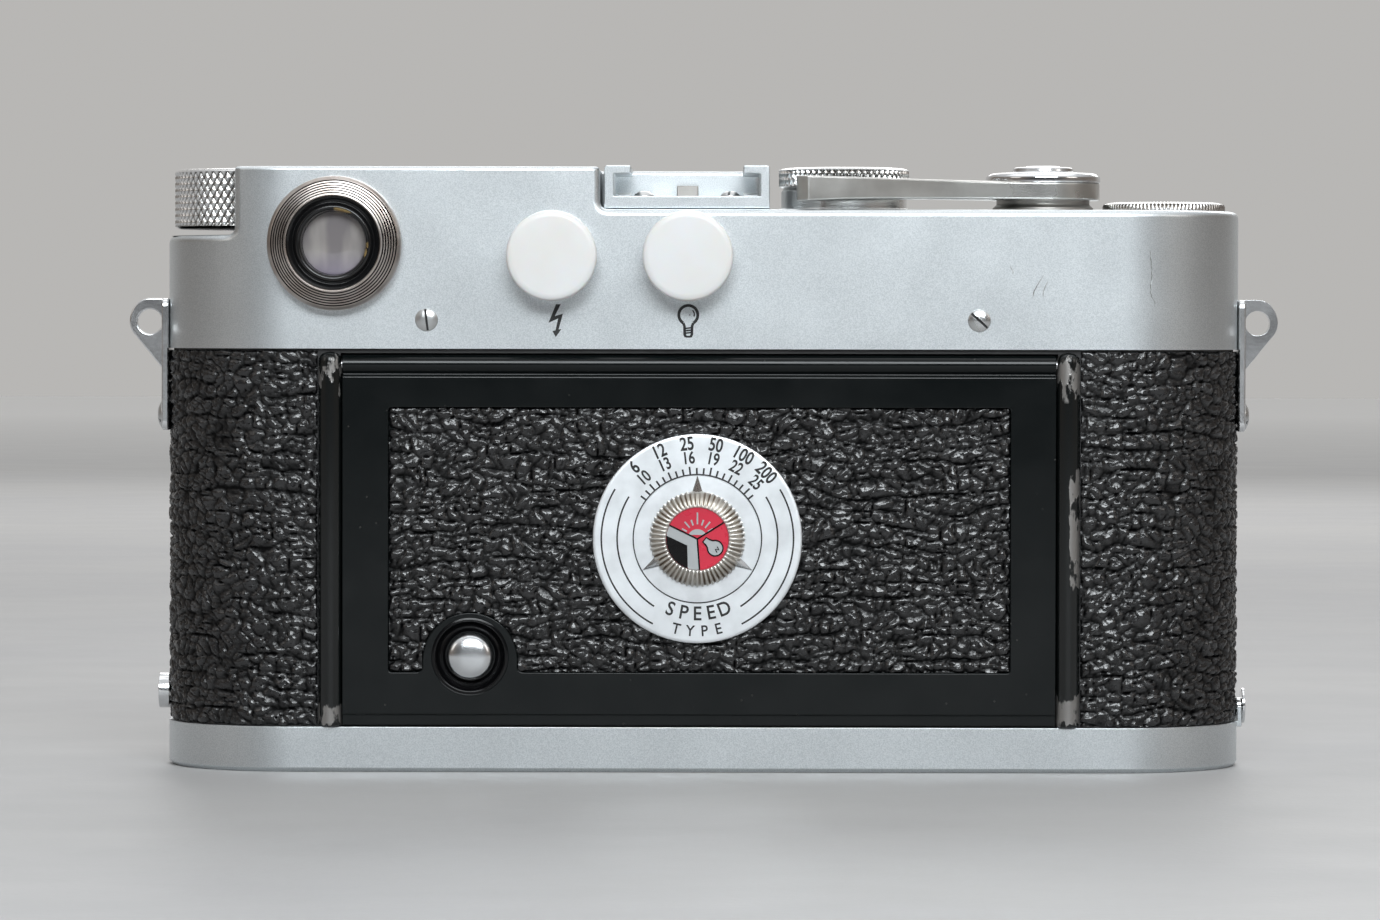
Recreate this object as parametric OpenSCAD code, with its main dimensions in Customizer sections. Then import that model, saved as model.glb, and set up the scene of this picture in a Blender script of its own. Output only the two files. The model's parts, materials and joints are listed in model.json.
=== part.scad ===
// Rangefinder camera for 35 mm film.
// The back faces -Y, the lens faces +Y, +X is the photographer's right and +Z is up.
// The origin is the middle of the base plate's underside.

/* [Body] */
// Length of the body between the strap lugs
body_length = 138; // [137:0.5:140]
// Depth of the body without the lens
body_depth = 33.5; // [33.5:0.25:34.5]
// Height of the viewfinder housing
body_height = 77; // [76.5:0.25:78]
// Height of the deck that carries the dial and the lever
deck_height = 71.3; // [71:0.1:71.8]
// Height of the ledge under the rewind knob
ledge_height = 68; // [67.6:0.1:68.2]
// Height of the base plate's rim
base_height = 5.7; // [5.5:0.1:6]
// Height of the top cover's lower edge
cover_height = 53.6; // [53.4:0.1:54]
// Thickness of the leather
leather_t = 0.6; // [0.4:0.1:0.7]
// Wall of the body shell
shell_wall = 0.75; // [0.65:0.05:0.8]
// Wall of the top cover
cover_wall = 1.1; // [0.9:0.1:1.2]
// Wall of the base plate's rim
rim_wall = 1; // [0.9:0.1:1.1]
// Floor of the base plate
base_floor = 1.2; // [1:0.1:1.2]

/* [Film path] */
// Radius of the chamber that takes the film cassette
cassette_r = 12.55; // [12.5:0.05:12.6]
// Radius of the chamber round the take-up spool
take_up_r = 12.3; // [12:0.1:12.5]
// Width of the picture gate
gate_w = 36; // [34:1:36]
// Height of the picture gate
gate_h = 24; // [22:1:24]
// Depth of the film plane behind the middle of the body
film_depth = 10; // [9.8:0.1:10.2]

/* [Back door] */
// Left edge of the door
door_left = -45.7; // [-46:0.1:-45.5]
// Right edge of the door
door_right = 44.7; // [44.5:0.1:45]
// Width of the round beads beside the door
bead_w = 3; // [2.6:0.1:3.2]
// Greatest radius of the film reminder disc
film_disc_r = 13.3; // [13:0.1:13.6]

/* [Top controls] */
// Radius of the rewind knob
knob_r = 13.2; // [12.8:0.1:13.2]
// Radius of the shutter-speed dial
dial_r = 8.45; // [8.2:0.05:8.6]
// Radius of the advance lever's hub
hub_r = 7.3; // [7:0.1:7.4]
// Radius of the frame counter
counter_r = 7.9; // [7.6:0.1:7.9]
// Inner width of the accessory shoe
shoe_slot = 18.6; // [18.5:0.05:18.8]

/* [Eyepiece and flash sockets] */
// Radius of the eyepiece's outer ring
eyepiece_r = 8.5; // [8.2:0.1:8.6]
// Radius of the flash socket caps
cap_r = 5.7; // [5.4:0.1:5.8]

/* [Mounts] */
// Core radius of the tripod thread
tripod_r = 3.175; // [3.175:0.001:3.175]
// Depth of the tripod thread
tripod_depth = 5; // [4.8:0.1:5]
// Radius of the strap lug's eye
lug_eye_r = 1.6; // [1.5:0.05:1.65]
// Thickness of the strap lug's eye
lug_t = 2; // [1.8:0.1:2.4]
// Radius of the filter thread
filter_r = 19.25; // [19.25:0.05:19.3]
// Length of the filter thread
filter_len = 3; // [2.5:0.1:3]

/* [Lens] */
// Place of the lens axis along the body
lens_x = -2.1; // [-2.5:0.1:-1.7]
// Height of the lens axis
lens_z = 29.25; // [29:0.05:29.5]
// Distance from the film plane to the mount's face
register = 27.8; // [27.6:0.1:28]

/* [Hidden] */

$fn = 96;
eps = 0.5;               // how far a cutter runs past the face it opens
run_fit = 0.06;          // radial play of a shaft in its bearing
play = 0.3;              // gap between parts that pass each other

end_r = body_depth / 2;                  // radius of the rounded ends
end_x = body_length / 2 - end_r;         // centres of the rounded ends
shell_r = end_r - leather_t;             // outside of the shell, from the centre line
frame_r = shell_r - shell_wall - 0.05;   // outside of the inner frame
rear_y = -end_r;
front_y = end_r;
door_seat_y = -(shell_r - shell_wall);   // plane on which the door closes
film_y = -film_depth;
mount_y = film_y + register;             // face of the lens mount

cassette_x = -(end_x + 2.85);
take_up_x = end_x;
chamber_top = 50.2;
sprocket_x = 35;
sprocket_y = -5.2;
sprocket_r = 4.8;
wind_drum_x = 24.5;
wind_drum_r = 5;
spring_drum_x = -29;
spring_drum_r = 4.5;
drum_y = -1.8;

gate_plate_y = film_y + 0.8;             // rear face of the gate plate
curtain_y = -7.3;
throat_r = 19.9;

door_bottom = 5.9;
door_top = 52.85;
door_face_y = -17.05;
door_panel_y = -16.35;                   // floor of the recess for the leather
hinge_y = -15.9;
hinge_z = 51.6;
hinge_r = 1.25;
pin_r = 0.7;
panel_left = -39.8;
panel_right = 38.9;
panel_bottom = 12.4;
panel_top = 46.2;
film_disc_x = -0.7;
film_disc_z = 29.65;
button_x = -29.45;
button_z = 14.7;

housing_left = -59.45;
housing_right = -13.1;
housing_front_right = 7.5;
housing_front_y = 6;
pocket_r = knob_r + 0.4;

dial_x = 18.1;
hub_x = 43.8;
counter_x = 59.4;
counter_top = deck_height + 1.15;
lever_z = deck_height + 1.5;             // underside of the lever's blade
lever_t = 1.9;
shoe_x = lens_x;
shoe_rear = -14.5;
shoe_front = 4.5;

eyepiece_x = -46.6;
eyepiece_z = 66.9;
socket_x = [-19.1, -1.95];
socket_z = 65.35;
socket_hole_r = 2;
cap_face_y = -21.7;

lug_x = body_length / 2 + 2.5;
lug_z = 57;
lug_r = lug_eye_r + 0.8;
stud_z = 9.3;
hook_stud_z = 7.6;
hook_stud_r = 2.28;

// Outline of the body seen from above, at a given distance from its centre line
module race_track(r) {
    square([2 * end_x, 2 * r], center = true);
    for (side = [-1, 1]) translate([side * end_x, 0]) circle(r = r);
}

module slab(r, z0, z1) translate([0, 0, z0]) linear_extrude(z1 - z0) race_track(r);

// A profile of radius and height carried right round the body, and filled inside
module carried_round() {
    for (side = [-1, 1]) translate([side * end_x, 0, 0]) rotate_extrude() children();
    translate([-end_x, 0, 0]) rotate([90, 0, 90]) linear_extrude(2 * end_x) {
        children();
        mirror([1, 0]) children();
    }
}

module block(x0, x1, y0, y1, z0, z1) translate([x0, y0, z0]) cube([x1 - x0, y1 - y0, z1 - z0]);

module rod_x(y, z, x0, x1, r) translate([x0, y, z]) rotate([0, 90, 0]) cylinder(h = x1 - x0, r = r);

module rod_y(x, z, y0, y1, r) translate([x, y0, z]) rotate([-90, 0, 0]) cylinder(h = y1 - y0, r = r);

module rod_z(x, y, z0, z1, r) translate([x, y, z0]) cylinder(h = z1 - z0, r = r);

// A profile of radius and Y turned about an axis along Y
module turned_y(x, z) translate([x, 0, z]) rotate([-90, 0, 0]) rotate_extrude() children();

// A profile of radius and Z turned about an upright axis
module turned_z(x, y) translate([x, y, 0]) rotate_extrude() children();

// A disc whose edge is cut into straight teeth
module fluted(r, depth, teeth, h) {
    step = 360 / teeth;
    linear_extrude(h) polygon([
        for (i = [0 : teeth - 1], k = [0, 1])
            let (a = step * (i + k / 2), q = r - k * depth) [q * cos(a), q * sin(a)]
    ]);
}

// ---------------------------------------------------------------- base plate

module base_plate() color([0.78, 0.79, 0.8]) {
    chamfer = 0.5;
    fork_gap = 0.12;
    fork_face = body_length / 2 + 0.52;
    difference() {
        union() {
            difference() {
                carried_round() polygon([
                    [0, 0], [end_r - chamfer, 0], [end_r, chamfer], [end_r, base_height], [0, base_height]
                ]);
                slab(end_r - rim_wall, base_floor, base_height + eps);
            }
            // Small fork that hooks round the neck of the stud on the right-hand end, under its head
            difference() {
                block(fork_face - 1.2, fork_face, -2.2, 2.2, base_height - 0.7, hook_stud_z);
                slab(end_r + fork_gap, base_height, hook_stud_z + eps);
                slab(end_r - rim_wall, 0, base_height);
            }
        }
        block(fork_face - 2, fork_face + eps, -1.3, 1.3, hook_stud_z - 1.3, hook_stud_z + eps);
        rod_z(end_x, 0, -eps, base_floor + eps, 6);
        rod_z(cassette_x, 0, -eps, base_floor + eps, 8 + run_fit);
    }
}

module tripod_bush() color([0.8, 0.7, 0.42]) difference() {
    union() {
        rod_z(end_x, 0, 0, tripod_depth + 0.2, 6);
        rod_z(end_x, 0, base_floor, base_floor + 1, 7.5);
    }
    rod_z(end_x, 0, -eps, tripod_depth, tripod_r);
}

// Half-moon grip of the key, grown by a gap for the recess that it folds into
module key_wing_shape(gap) {
    intersection() {
        rod_z(cassette_x, 0, 0.35 - 2 * gap, 1.15 + gap, 6.3 + gap);
        block(cassette_x - 0.6 - gap, cassette_x + 8, -8, 8, 0.35 - 2 * gap, 1.15 + gap);
    }
}

wing_pivot_x = cassette_x - 0.2;
wing_pivot_z = 0.75;

module base_key() color([0.76, 0.77, 0.78]) difference() {
    union() {
        rod_z(cassette_x, 0, 0.2, base_floor + 0.1, 8);
        rod_z(cassette_x, 0, base_floor + 0.05, base_floor + 1, 9);
        rod_z(cassette_x, 0, base_floor + 1, 4.4, 3);
        block(cassette_x - 6, cassette_x + 6, -1.6, 1.6, 4.3, 5.2);
    }
    key_wing_shape(play);
    block(cassette_x - 2.2, cassette_x, -6.6, 6.6, 0, 1.45);
    rod_y(wing_pivot_x, wing_pivot_z, -7.4, 7.4, 0.28 + run_fit);
}

module key_wing() color([0.8, 0.81, 0.82]) union() {
    key_wing_shape(0);
    rod_y(wing_pivot_x, wing_pivot_z, -7.2, 7.2, 0.28);
}

// ---------------------------------------------------------------- body

// Where the levers and the button on the front are pivoted: [x, z, radius of the hole]
selector_pivot = [-31.5, 38, 1.5];
timer_pivot = [38, 37.5, 1.5];
release_pivot = [28.5, 46, 1.5];
release_button_at = [-28.8, 15.5, 2.2];

module front_holes(extra) {
    for (p = [selector_pivot, timer_pivot, release_pivot, release_button_at])
        rod_y(p[0], p[1], frame_r - 1, end_r + eps, p[2] + extra);
}

module hinge_pin_hole() rod_x(hinge_y, hinge_z, door_left - 1.9, door_right + 1.9, pin_r + 0.02);

module body_shell() color([0.2, 0.2, 0.21]) difference() {
    slab(shell_r, base_height, cover_height);
    slab(shell_r - shell_wall, base_height - eps, cover_height + eps);
    block(door_left - 0.2, door_right + 0.2, -20, -10, base_height - eps, door_top + 0.2);
    rod_y(lens_x, lens_z, 10, 20, throat_r);
    front_holes(run_fit);
    hinge_pin_hole();
}

module rails() {
    rail_x = gate_w / 2 + 20;
    for (side = [-1, 1]) {
        translate([lens_x - rail_x, film_y + 0.1, lens_z + side * 13.1 - 0.9])
            cube([2 * rail_x - 12, 0.75, 1.8]);
        translate([lens_x - rail_x, film_y - 0.1, lens_z + side * 18.6 - 0.9])
            cube([2 * rail_x - 12, 0.95, 1.8]);
    }
}

module inner_frame() color([0.13, 0.13, 0.14]) union() {
    difference() {
        slab(frame_r, base_height, cover_height - 0.2);
        rod_z(cassette_x, 0, base_height - eps, chamber_top, cassette_r);
        rod_z(take_up_x, 0, base_height - eps, chamber_top, take_up_r);
        // Hollow behind the door, the film's way through, and the picture gate
        block(-41, 40, -20, gate_plate_y, 8.5, 49.5);
        block(cassette_x + 5, take_up_x - 5, -12, gate_plate_y, 10, 48.5);
        block(lens_x - gate_w / 2, lens_x + gate_w / 2, gate_plate_y - eps, -5,
              lens_z - gate_h / 2, lens_z + gate_h / 2);
        // Slot for the curtains, and pockets for their drums and for the sprocket
        block(spring_drum_x, wind_drum_x, curtain_y - 0.3, -6.2, 13, 45.5);
        rod_z(spring_drum_x, drum_y, 10, cover_height, 6.2);
        rod_z(wind_drum_x, drum_y, 10, cover_height, 6.2);
        rod_z(sprocket_x, sprocket_y, 10, cover_height, 5.9);
        for (p = [[spring_drum_x, drum_y], [wind_drum_x, drum_y], [sprocket_x, sprocket_y]])
            rod_z(p[0], p[1], 7.5, 10 + eps, 1.5 + run_fit);
        // Light path from the mount to the gate
        block(lens_x - throat_r, lens_x + throat_r, -6.5, 9.3, lens_z - 14, lens_z + 14);
        rod_y(lens_x, lens_z, 9.2, 16, throat_r);
        // Hinge groove and bearings
        rod_x(hinge_y, hinge_z, door_left - 0.2, door_right + 0.2, hinge_r + 0.25);
        hinge_pin_hole();
        // Room for the stem of the lens release button when it is pressed
        rod_y(release_button_at[0], release_button_at[1], frame_r - 2.2, frame_r + 1, release_button_at[2] + run_fit);
        rod_z(cassette_x, 0, chamber_top - eps, cover_height, 3 + run_fit);
        rod_z(take_up_x, 0, chamber_top - eps, cover_height, 2 + run_fit);
    }
    rails();
    // Lips that locate the base plate
    for (side = [-1, 1])
        translate([-40, side * (frame_r - 0.4) - 0.4, 2]) cube([90, 0.8, base_height - 2 + 0.2]);
}

module leather(side) difference() {
    slab(end_r, base_height + 0.1, cover_height - 0.3);
    slab(shell_r, base_height, cover_height);
    block(door_left - bead_w - 0.05, door_right + bead_w + 0.05, -20, -5, 0, 60);
    rod_y(lens_x, lens_z, 10, 20, 23.3);
    block(lens_x - 8, lens_x + 8, 5, 20, 0, 60);
    block(side > 0 ? -80 : lens_x, side > 0 ? lens_x : 80, -20, 20, 0, 60);
    front_holes(play);
}

module leather_left() color([0.09, 0.09, 0.095]) leather(-1);

module leather_right() color([0.09, 0.09, 0.095]) leather(1);

module door_beads() color([0.1, 0.1, 0.11]) difference() {
    for (x = [door_left - bead_w / 2, door_right + bead_w / 2])
        rod_z(x, -shell_r + 0.15, base_height, cover_height - 0.5, bead_w / 2);
    block(-60, 60, -shell_r, 0, 0, 60);
    hinge_pin_hole();
}

// ---------------------------------------------------------------- top cover

// The cover's solid shape, drawn in by its wall to make the hollow inside it
module cover_solid(inset, bottom) {
    r = end_r - inset;
    far = 100;
    difference() {
        union() {
            slab(r, bottom, ledge_height - inset);
            intersection() {
                slab(r, bottom, deck_height - inset);
                block(housing_left + inset, far, -far, far, 0, far);
            }
            intersection() {
                slab(r, bottom, body_height - inset);
                union() {
                    block(housing_left + inset, housing_right - inset, -far, far, 0, far);
                    block(housing_left + inset, housing_front_right - inset,
                          housing_front_y + inset, far, 0, far);
                }
            }
        }
        rod_z(cassette_x, 0, ledge_height - inset, body_height + eps, pocket_r + inset);
    }
}

// Windows in the front of the housing: [left, right, bottom, top]
finder_pane = [-50.5, -33.5, 61.8, 72.6];
illumination_pane = [-27.5, -12.5, 63, 71.6];
rangefinder_pane = [-3, 3.6, 64, 70.4];

module pane(p, y0, y1, grow) block(p[0] - grow, p[1] + grow, y0, y1, p[2] - grow, p[3] + grow);

module top_cover() color([0.8, 0.81, 0.82]) difference() {
    union() {
        difference() {
            cover_solid(0, cover_height);
            cover_solid(cover_wall, cover_height - eps);
        }
        for (p = [finder_pane, illumination_pane, rangefinder_pane])
            pane(p, front_y - cover_wall, front_y + 0.7, 1);
    }
    for (p = [finder_pane, illumination_pane, rangefinder_pane]) pane(p, 10, front_y + 2, 0);
    rod_y(eyepiece_x, eyepiece_z, rear_y - eps, rear_y + 2, 6);
    for (x = socket_x) rod_y(x, socket_z, rear_y - eps, rear_y + 2, 3.5);
    for (x = [-35, 34.9]) rod_y(x, 57.25, rear_y - eps, rear_y + 2, 0.95);
    rod_z(cassette_x, 0, 60, body_height, 3 + run_fit);
    rod_z(dial_x, 0, 60, body_height, 2.5 + run_fit);
    rod_z(hub_x, 0, 60, body_height, 3.55 + run_fit);
    rod_z(counter_x, 0, 60, body_height, 1.5 + run_fit);
}

module cover_screws() color([0.75, 0.76, 0.78]) for (x = [-35, 34.9]) difference() {
    union() {
        rod_y(x, 57.25, rear_y - 0.35, rear_y, 1.5);
        rod_y(x, 57.25, rear_y, rear_y + 3, 0.9);
    }
    translate([x, rear_y - 0.35, 57.25]) rotate([0, 40, 0]) cube([4, 0.4, 0.35], center = true);
}

// Strap lug on one end: side is -1 for the left end and 1 for the right end
module strap_lug(side) difference() {
    union() {
        translate([side * (body_length / 2 + 0.2) - 0.6, -3.5, 43]) cube([1.2, 7, 17]);
        rotate([90, 0, 0]) translate([0, 0, -lug_t / 2]) linear_extrude(lug_t) hull() {
            translate([side * lug_x, lug_z]) circle(r = lug_r, $fn = 64);
            translate([side * (body_length / 2 + 0.5) - 0.3, 50]) square([0.6, lug_z + lug_r - 50]);
        }
    }
    slab(end_r, 40, 62);
    rod_y(side * lug_x, lug_z, -5, 5, lug_eye_r);
}

module strap_lug_left() color([0.75, 0.76, 0.77]) strap_lug(-1);

module strap_lug_right() color([0.75, 0.76, 0.77]) strap_lug(1);

module lug_screws() color([0.7, 0.71, 0.73]) for (side = [-1, 1])
    translate([side * (body_length / 2 + 0.8), 0, 45]) rotate([0, side * 90, 0]) cylinder(h = 0.8, r = 1.9);

module side_studs() color([0.8, 0.81, 0.83]) difference() {
    union() {
        rod_x(0, stud_z, -body_length / 2 - 1.3, -body_length / 2 + 1, 2.25);
        rod_x(0, hook_stud_z, body_length / 2 - 1, body_length / 2 + 0.65, 1);
        rod_x(0, hook_stud_z, body_length / 2 + 0.6, body_length / 2 + 1, hook_stud_r);
    }
    slab(end_r, 0, 20);
}

// ---------------------------------------------------------------- back door

module back_door() color([0.07, 0.08, 0.08]) difference() {
    union() {
        block(door_left, door_right, door_face_y, door_seat_y, door_bottom, hinge_z - 0.6);
        rod_x(hinge_y, hinge_z, door_left, door_right, hinge_r);
    }
    // Recess for the leather, with the boss of the button left standing in its corner
    difference() {
        block(panel_left, panel_right, -20, door_panel_y, panel_bottom, panel_top);
        rod_y(button_x, button_z, -20, 0, 6);
    }
    block(door_left - 1, door_right + 1, -20, door_face_y + 0.25, 0, door_bottom + 1.4);
    block(door_left - 1, door_right + 1, -20, door_face_y + 0.15, hinge_z - 1.45, 60);
    turned_y(button_x, button_z) polygon([[0, -20], [4.4, -20], [4.4, -16.9], [3.1, -16.1], [0, -16.1]]);
    rod_y(button_x, button_z, -20, 0, 1.8 + run_fit);
    rod_y(film_disc_x, film_disc_z, -20, 0, 1.5 + run_fit);
    rod_x(hinge_y, hinge_z, door_left - 1, door_right + 1, pin_r + run_fit);
}

module hinge_pin() color([0.6, 0.6, 0.62]) rod_x(hinge_y, hinge_z, door_left - 1.8, door_right + 1.8, pin_r);

module door_leather() color([0.09, 0.09, 0.095]) difference() {
    block(panel_left + 0.1, panel_right - 0.1, -16.9, door_panel_y, panel_bottom + 0.1, panel_top - 0.1);
    rod_y(film_disc_x, film_disc_z, -20, 0, film_disc_r + 0.05);
    rod_y(button_x, button_z, -20, 0, 6.1);
}

module pressure_plate() color([0.16, 0.16, 0.17])
    block(-27, 23, film_y - 1.6, film_y - 0.1, 10.4, 48.1);

module door_springs() color([0.7, 0.7, 0.68]) for (z = [20, 38]) translate([-2, 0, z - 2]) linear_extrude(4) polygon([
    [-18, film_y - 2.2], [-14, film_y - 2.2], [-4, door_seat_y + 0.4], [4, door_seat_y + 0.4],
    [14, film_y - 2.2], [18, film_y - 2.2], [18, film_y - 2.5], [14, film_y - 2.5],
    [4.2, door_seat_y], [-4.2, door_seat_y], [-14, film_y - 2.5], [-18, film_y - 2.5]
]);

module film_speed_disc() color([0.8, 0.81, 0.82]) turned_y(film_disc_x, film_disc_z) polygon([
    [1.7, door_panel_y], [film_disc_r, door_panel_y], [film_disc_r, -17.3], [film_disc_r - 0.2, -17.4],
    [1.7, -17.4]
]);

// Knurled grip of the film reminder with its three pointers
module film_speed_ring() color([0.66, 0.64, 0.6]) translate([film_disc_x, -17.45, film_disc_z]) difference() {
    union() {
        rotate([90, 0, 0]) fluted(6.06, 0.25, 60, 1.25);
        for (a = [0, 120, 240]) rotate([90, a, 0]) linear_extrude(0.5)
            polygon([[-1.1, 5.4], [0, 7.7], [1.1, 5.4]]);
    }
    rotate([90, 0, 0]) translate([0, 0, -eps]) cylinder(h = 3, r = 3.97);
}

module film_type_disc() color([0.75, 0.1, 0.12]) {
    rod_y(film_disc_x, film_disc_z, -18.4, -17.45, 3.93);
    rod_y(film_disc_x, film_disc_z, -17.45, -15.6, 1.5);
}

module door_button() color([0.82, 0.83, 0.85]) turned_y(button_x, button_z) polygon([
    [0, -18.4], [0.9, -18.3], [1.8, -17.95], [2.45, -17.4], [2.75, -16.9], [1.8, -16.9], [1.8, -15.6], [0, -15.6]
]);

// ---------------------------------------------------------------- eyepiece and flash sockets

module eyepiece_ring() color([0.35, 0.31, 0.29]) turned_y(eyepiece_x, eyepiece_z) {
    ridges = 6;
    ridge = (eyepiece_r - 6.3) / ridges;
    polygon(concat(
        [[6, rear_y], [eyepiece_r, rear_y], [eyepiece_r, rear_y - 2.4]],
        [for (i = [0 : ridges - 1], k = [0, 1])
            [eyepiece_r - ridge * (i + 1 - k * 0.3) + 0.1, rear_y - 2.6 - 0.25 * i - (k == 0 ? 0.22 : 0)]],
        [[6, rear_y - 4.1]]
    ));
}

module eyepiece_bezel() color([0.06, 0.06, 0.06]) turned_y(eyepiece_x, eyepiece_z)
    polygon([[4.9, rear_y - 3.7], [5.95, rear_y - 3.7], [5.95, -15.2], [4, -15.2], [4, rear_y - 2.4]]);

module eyepiece_lens() color([0.6, 0.62, 0.72, 0.4]) rod_y(eyepiece_x, eyepiece_z, rear_y - 1.8, rear_y - 0.3, 3.98);

module flash_sockets() color([0.75, 0.75, 0.74]) for (x = socket_x) difference() {
    union() {
        rod_y(x, socket_z, rear_y, -11.5, 3.45);
        rod_y(x, socket_z, rear_y - 0.5, rear_y, 4.6);
    }
    rod_y(x, socket_z, rear_y - 1, -12.5, socket_hole_r);
}

module flash_cap(x) {
    turned_y(x, socket_z) polygon([
        [0, cap_face_y], [cap_r - 1.2, cap_face_y + 0.1], [cap_r - 0.3, cap_face_y + 0.7], [cap_r, cap_face_y + 1.6],
        [cap_r, rear_y - 0.15], [4.9, rear_y - 0.15], [4.9, rear_y - 0.85],
        [socket_hole_r - play, rear_y - 0.85], [socket_hole_r - play, -13.5], [0, -13.5]
    ]);
}

module flash_cap_left() color([0.93, 0.92, 0.89]) flash_cap(socket_x[0]);

module flash_cap_right() color([0.93, 0.92, 0.89]) flash_cap(socket_x[1]);

// ---------------------------------------------------------------- accessory shoe

shoe_floor = deck_height + 1.8;
shoe_top = body_height - 0.1;
shoe_lip = 3.2;
shoe_holes = [for (dx = [-5.5, 5.5], y = [-10, -1]) [shoe_x + dx, y]];

module accessory_shoe() color([0.8, 0.81, 0.82]) difference() {
    half = shoe_slot / 2;
    union() {
        block(shoe_x - half - 1.2, shoe_x + half + 1.2, shoe_rear, shoe_front, deck_height, shoe_floor);
        for (side = [-1, 1]) {
            translate([shoe_x + side * (half + 0.6) - 0.6, shoe_rear, deck_height])
                cube([1.2, shoe_front - shoe_rear, shoe_top - deck_height]);
            translate([shoe_x + side * (half - shoe_lip / 2 + 0.1) - shoe_lip / 2 - 0.1, shoe_rear, shoe_top - 1.2])
                cube([shoe_lip + 0.2, shoe_front - shoe_rear, 1.2]);
        }
        block(shoe_x - 3, shoe_x + 3, shoe_front - 1, shoe_front, shoe_floor, shoe_floor + 2);
    }
    for (p = shoe_holes) rod_z(p[0], p[1], deck_height - 1, shoe_floor + 1, 1.25);
}

module shoe_screws() color([0.72, 0.73, 0.75]) for (p = shoe_holes) difference() {
    rod_z(p[0], p[1], deck_height, shoe_floor - 0.1, 1.2);
    translate([p[0], p[1], shoe_floor]) cube([3, 0.35, 0.7], center = true);
}

// Leaf springs under the lips
module shoe_spring() color([0.85, 0.86, 0.88]) for (side = [-1, 1])
    translate([shoe_x + side * (shoe_slot / 2 - 1.3) - 0.9, 0, shoe_floor]) rotate([90, 0, 90]) linear_extrude(1.8)
        polygon([[-11, 0], [-9, 0], [-5, 0.9], [-1, 0], [1, 0], [1, 0.25], [-0.9, 0.25], [-5, 1.15], [-9.1, 0.25], [-11, 0.25]]);

// ---------------------------------------------------------------- top controls

module speed_dial() color([0.74, 0.73, 0.71]) {
    translate([dial_x, 0, deck_height + 3.1]) fluted(dial_r, 0.3, 60, 2.2);
    turned_z(dial_x, 0) polygon([
        [0, deck_height + 5.3], [dial_r - 0.6, deck_height + 5.3], [dial_r - 0.9, deck_height + 5.6],
        [0, deck_height + 5.6]
    ]);
    rod_z(dial_x, 0, deck_height + 0.1, deck_height + 3.1, dial_r - 0.25);
    rod_z(dial_x, 0, 66, deck_height + 0.1, 2.5);
}

// Blade of the lever seen from above: it passes behind the dial to a tip that turns to the rear
module lever_outline() {
    circle(r = hub_r);
    polygon([
        [0, -hub_r], [-8, -8.2], [-16, -10.6], [-22, -12.9], [-26, -14], [-29, -14.8], [-31, -15.4],
        [-31.2, -12.2], [-28.5, -10.6], [-24, -9.6], [-19.5, -8.2], [-15.5, -5.6], [-11, -2], [-6.8, 2.6], [0, 0]
    ]);
}

module advance_lever() color([0.78, 0.78, 0.79]) difference() {
    translate([hub_x, 0, 0]) {
        translate([0, 0, lever_z]) linear_extrude(lever_t) lever_outline();
        rod_z(0, 0, deck_height + 0.1, lever_z, hub_r - 0.7);
    }
    rod_z(hub_x, 0, deck_height - 1, lever_z + 4, 3.6);
}

module lever_hub() color([0.82, 0.82, 0.83]) difference() {
    z = lever_z + lever_t;
    turned_z(hub_x, 0) polygon([
        [0, 66.5], [3.55, 66.5], [3.55, z], [hub_r, z], [hub_r, z + 1], [hub_r - 0.5, z + 1.5],
        [4.6, z + 1.6], [3.8, z + 1.8], [3.8, z + 2.3], [3.5, z + 2.4], [0, z + 2.4]
    ]);
    rod_z(hub_x, 0, 60, z + 4, 2.5 + run_fit);
}

module shutter_button() color([0.82, 0.83, 0.85]) turned_z(hub_x, 0) polygon([
    [0, 62], [2.5, 62], [2.5, 77.1], [2.2, 77.25], [1.2, 77.1], [0, 77]
]);

module frame_counter() color([0.79, 0.79, 0.8]) {
    translate([counter_x, 0, deck_height + 0.1]) fluted(counter_r, 0.18, 90, 0.8);
    turned_z(counter_x, 0) polygon([
        [0, deck_height + 0.9], [counter_r - 0.4, deck_height + 0.9], [2.5, counter_top - 0.05], [0, counter_top]
    ]);
    rod_z(counter_x, 0, 67, deck_height + 0.1, 1.5);
}

knob_z = 68.9;
knob_top = 76.5;

module rewind_knob() color([0.74, 0.73, 0.71]) difference() {
    union() {
        translate([cassette_x, 0, knob_z + 0.5]) fluted(knob_r, 0.35, 72, knob_top - knob_z - 1);
        rod_z(cassette_x, 0, knob_z, knob_top, knob_r - 0.7);
    }
    rod_z(cassette_x, 0, knob_z - 1, knob_top - 1.4, 2 + run_fit);
}

module rewind_shaft() color([0.7, 0.7, 0.72]) {
    rod_z(cassette_x, 0, knob_z, knob_top - 1.6, 2);
    rod_z(cassette_x, 0, ledge_height + 0.1, knob_z - 0.1, 4.5);
    rod_z(cassette_x, 0, chamber_top - 0.5, knob_z, 3);
    rod_z(cassette_x, 0, 43, chamber_top, 1.6);
    block(cassette_x - 2.8, cassette_x + 2.8, -0.6, 0.6, 43, 48);
}

// ---------------------------------------------------------------- viewfinder

module finder_window() color([0.55, 0.62, 0.68, 0.4]) pane(finder_pane, 15.9, 16.5, 0);

module illumination_window() color([0.9, 0.9, 0.88]) pane(illumination_pane, 15.9, 16.6, 0);

module rangefinder_window() color([0.55, 0.62, 0.68, 0.4]) pane(rangefinder_pane, 15.9, 16.5, 0);

module finder_block() color([0.5, 0.52, 0.55]) {
    block(-51.5, -36, -13.8, 15, 59.5, 66.4);
    block(-36.5, 4, 8, 15, 62, 68.5);
}

// ---------------------------------------------------------------- lens

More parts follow.
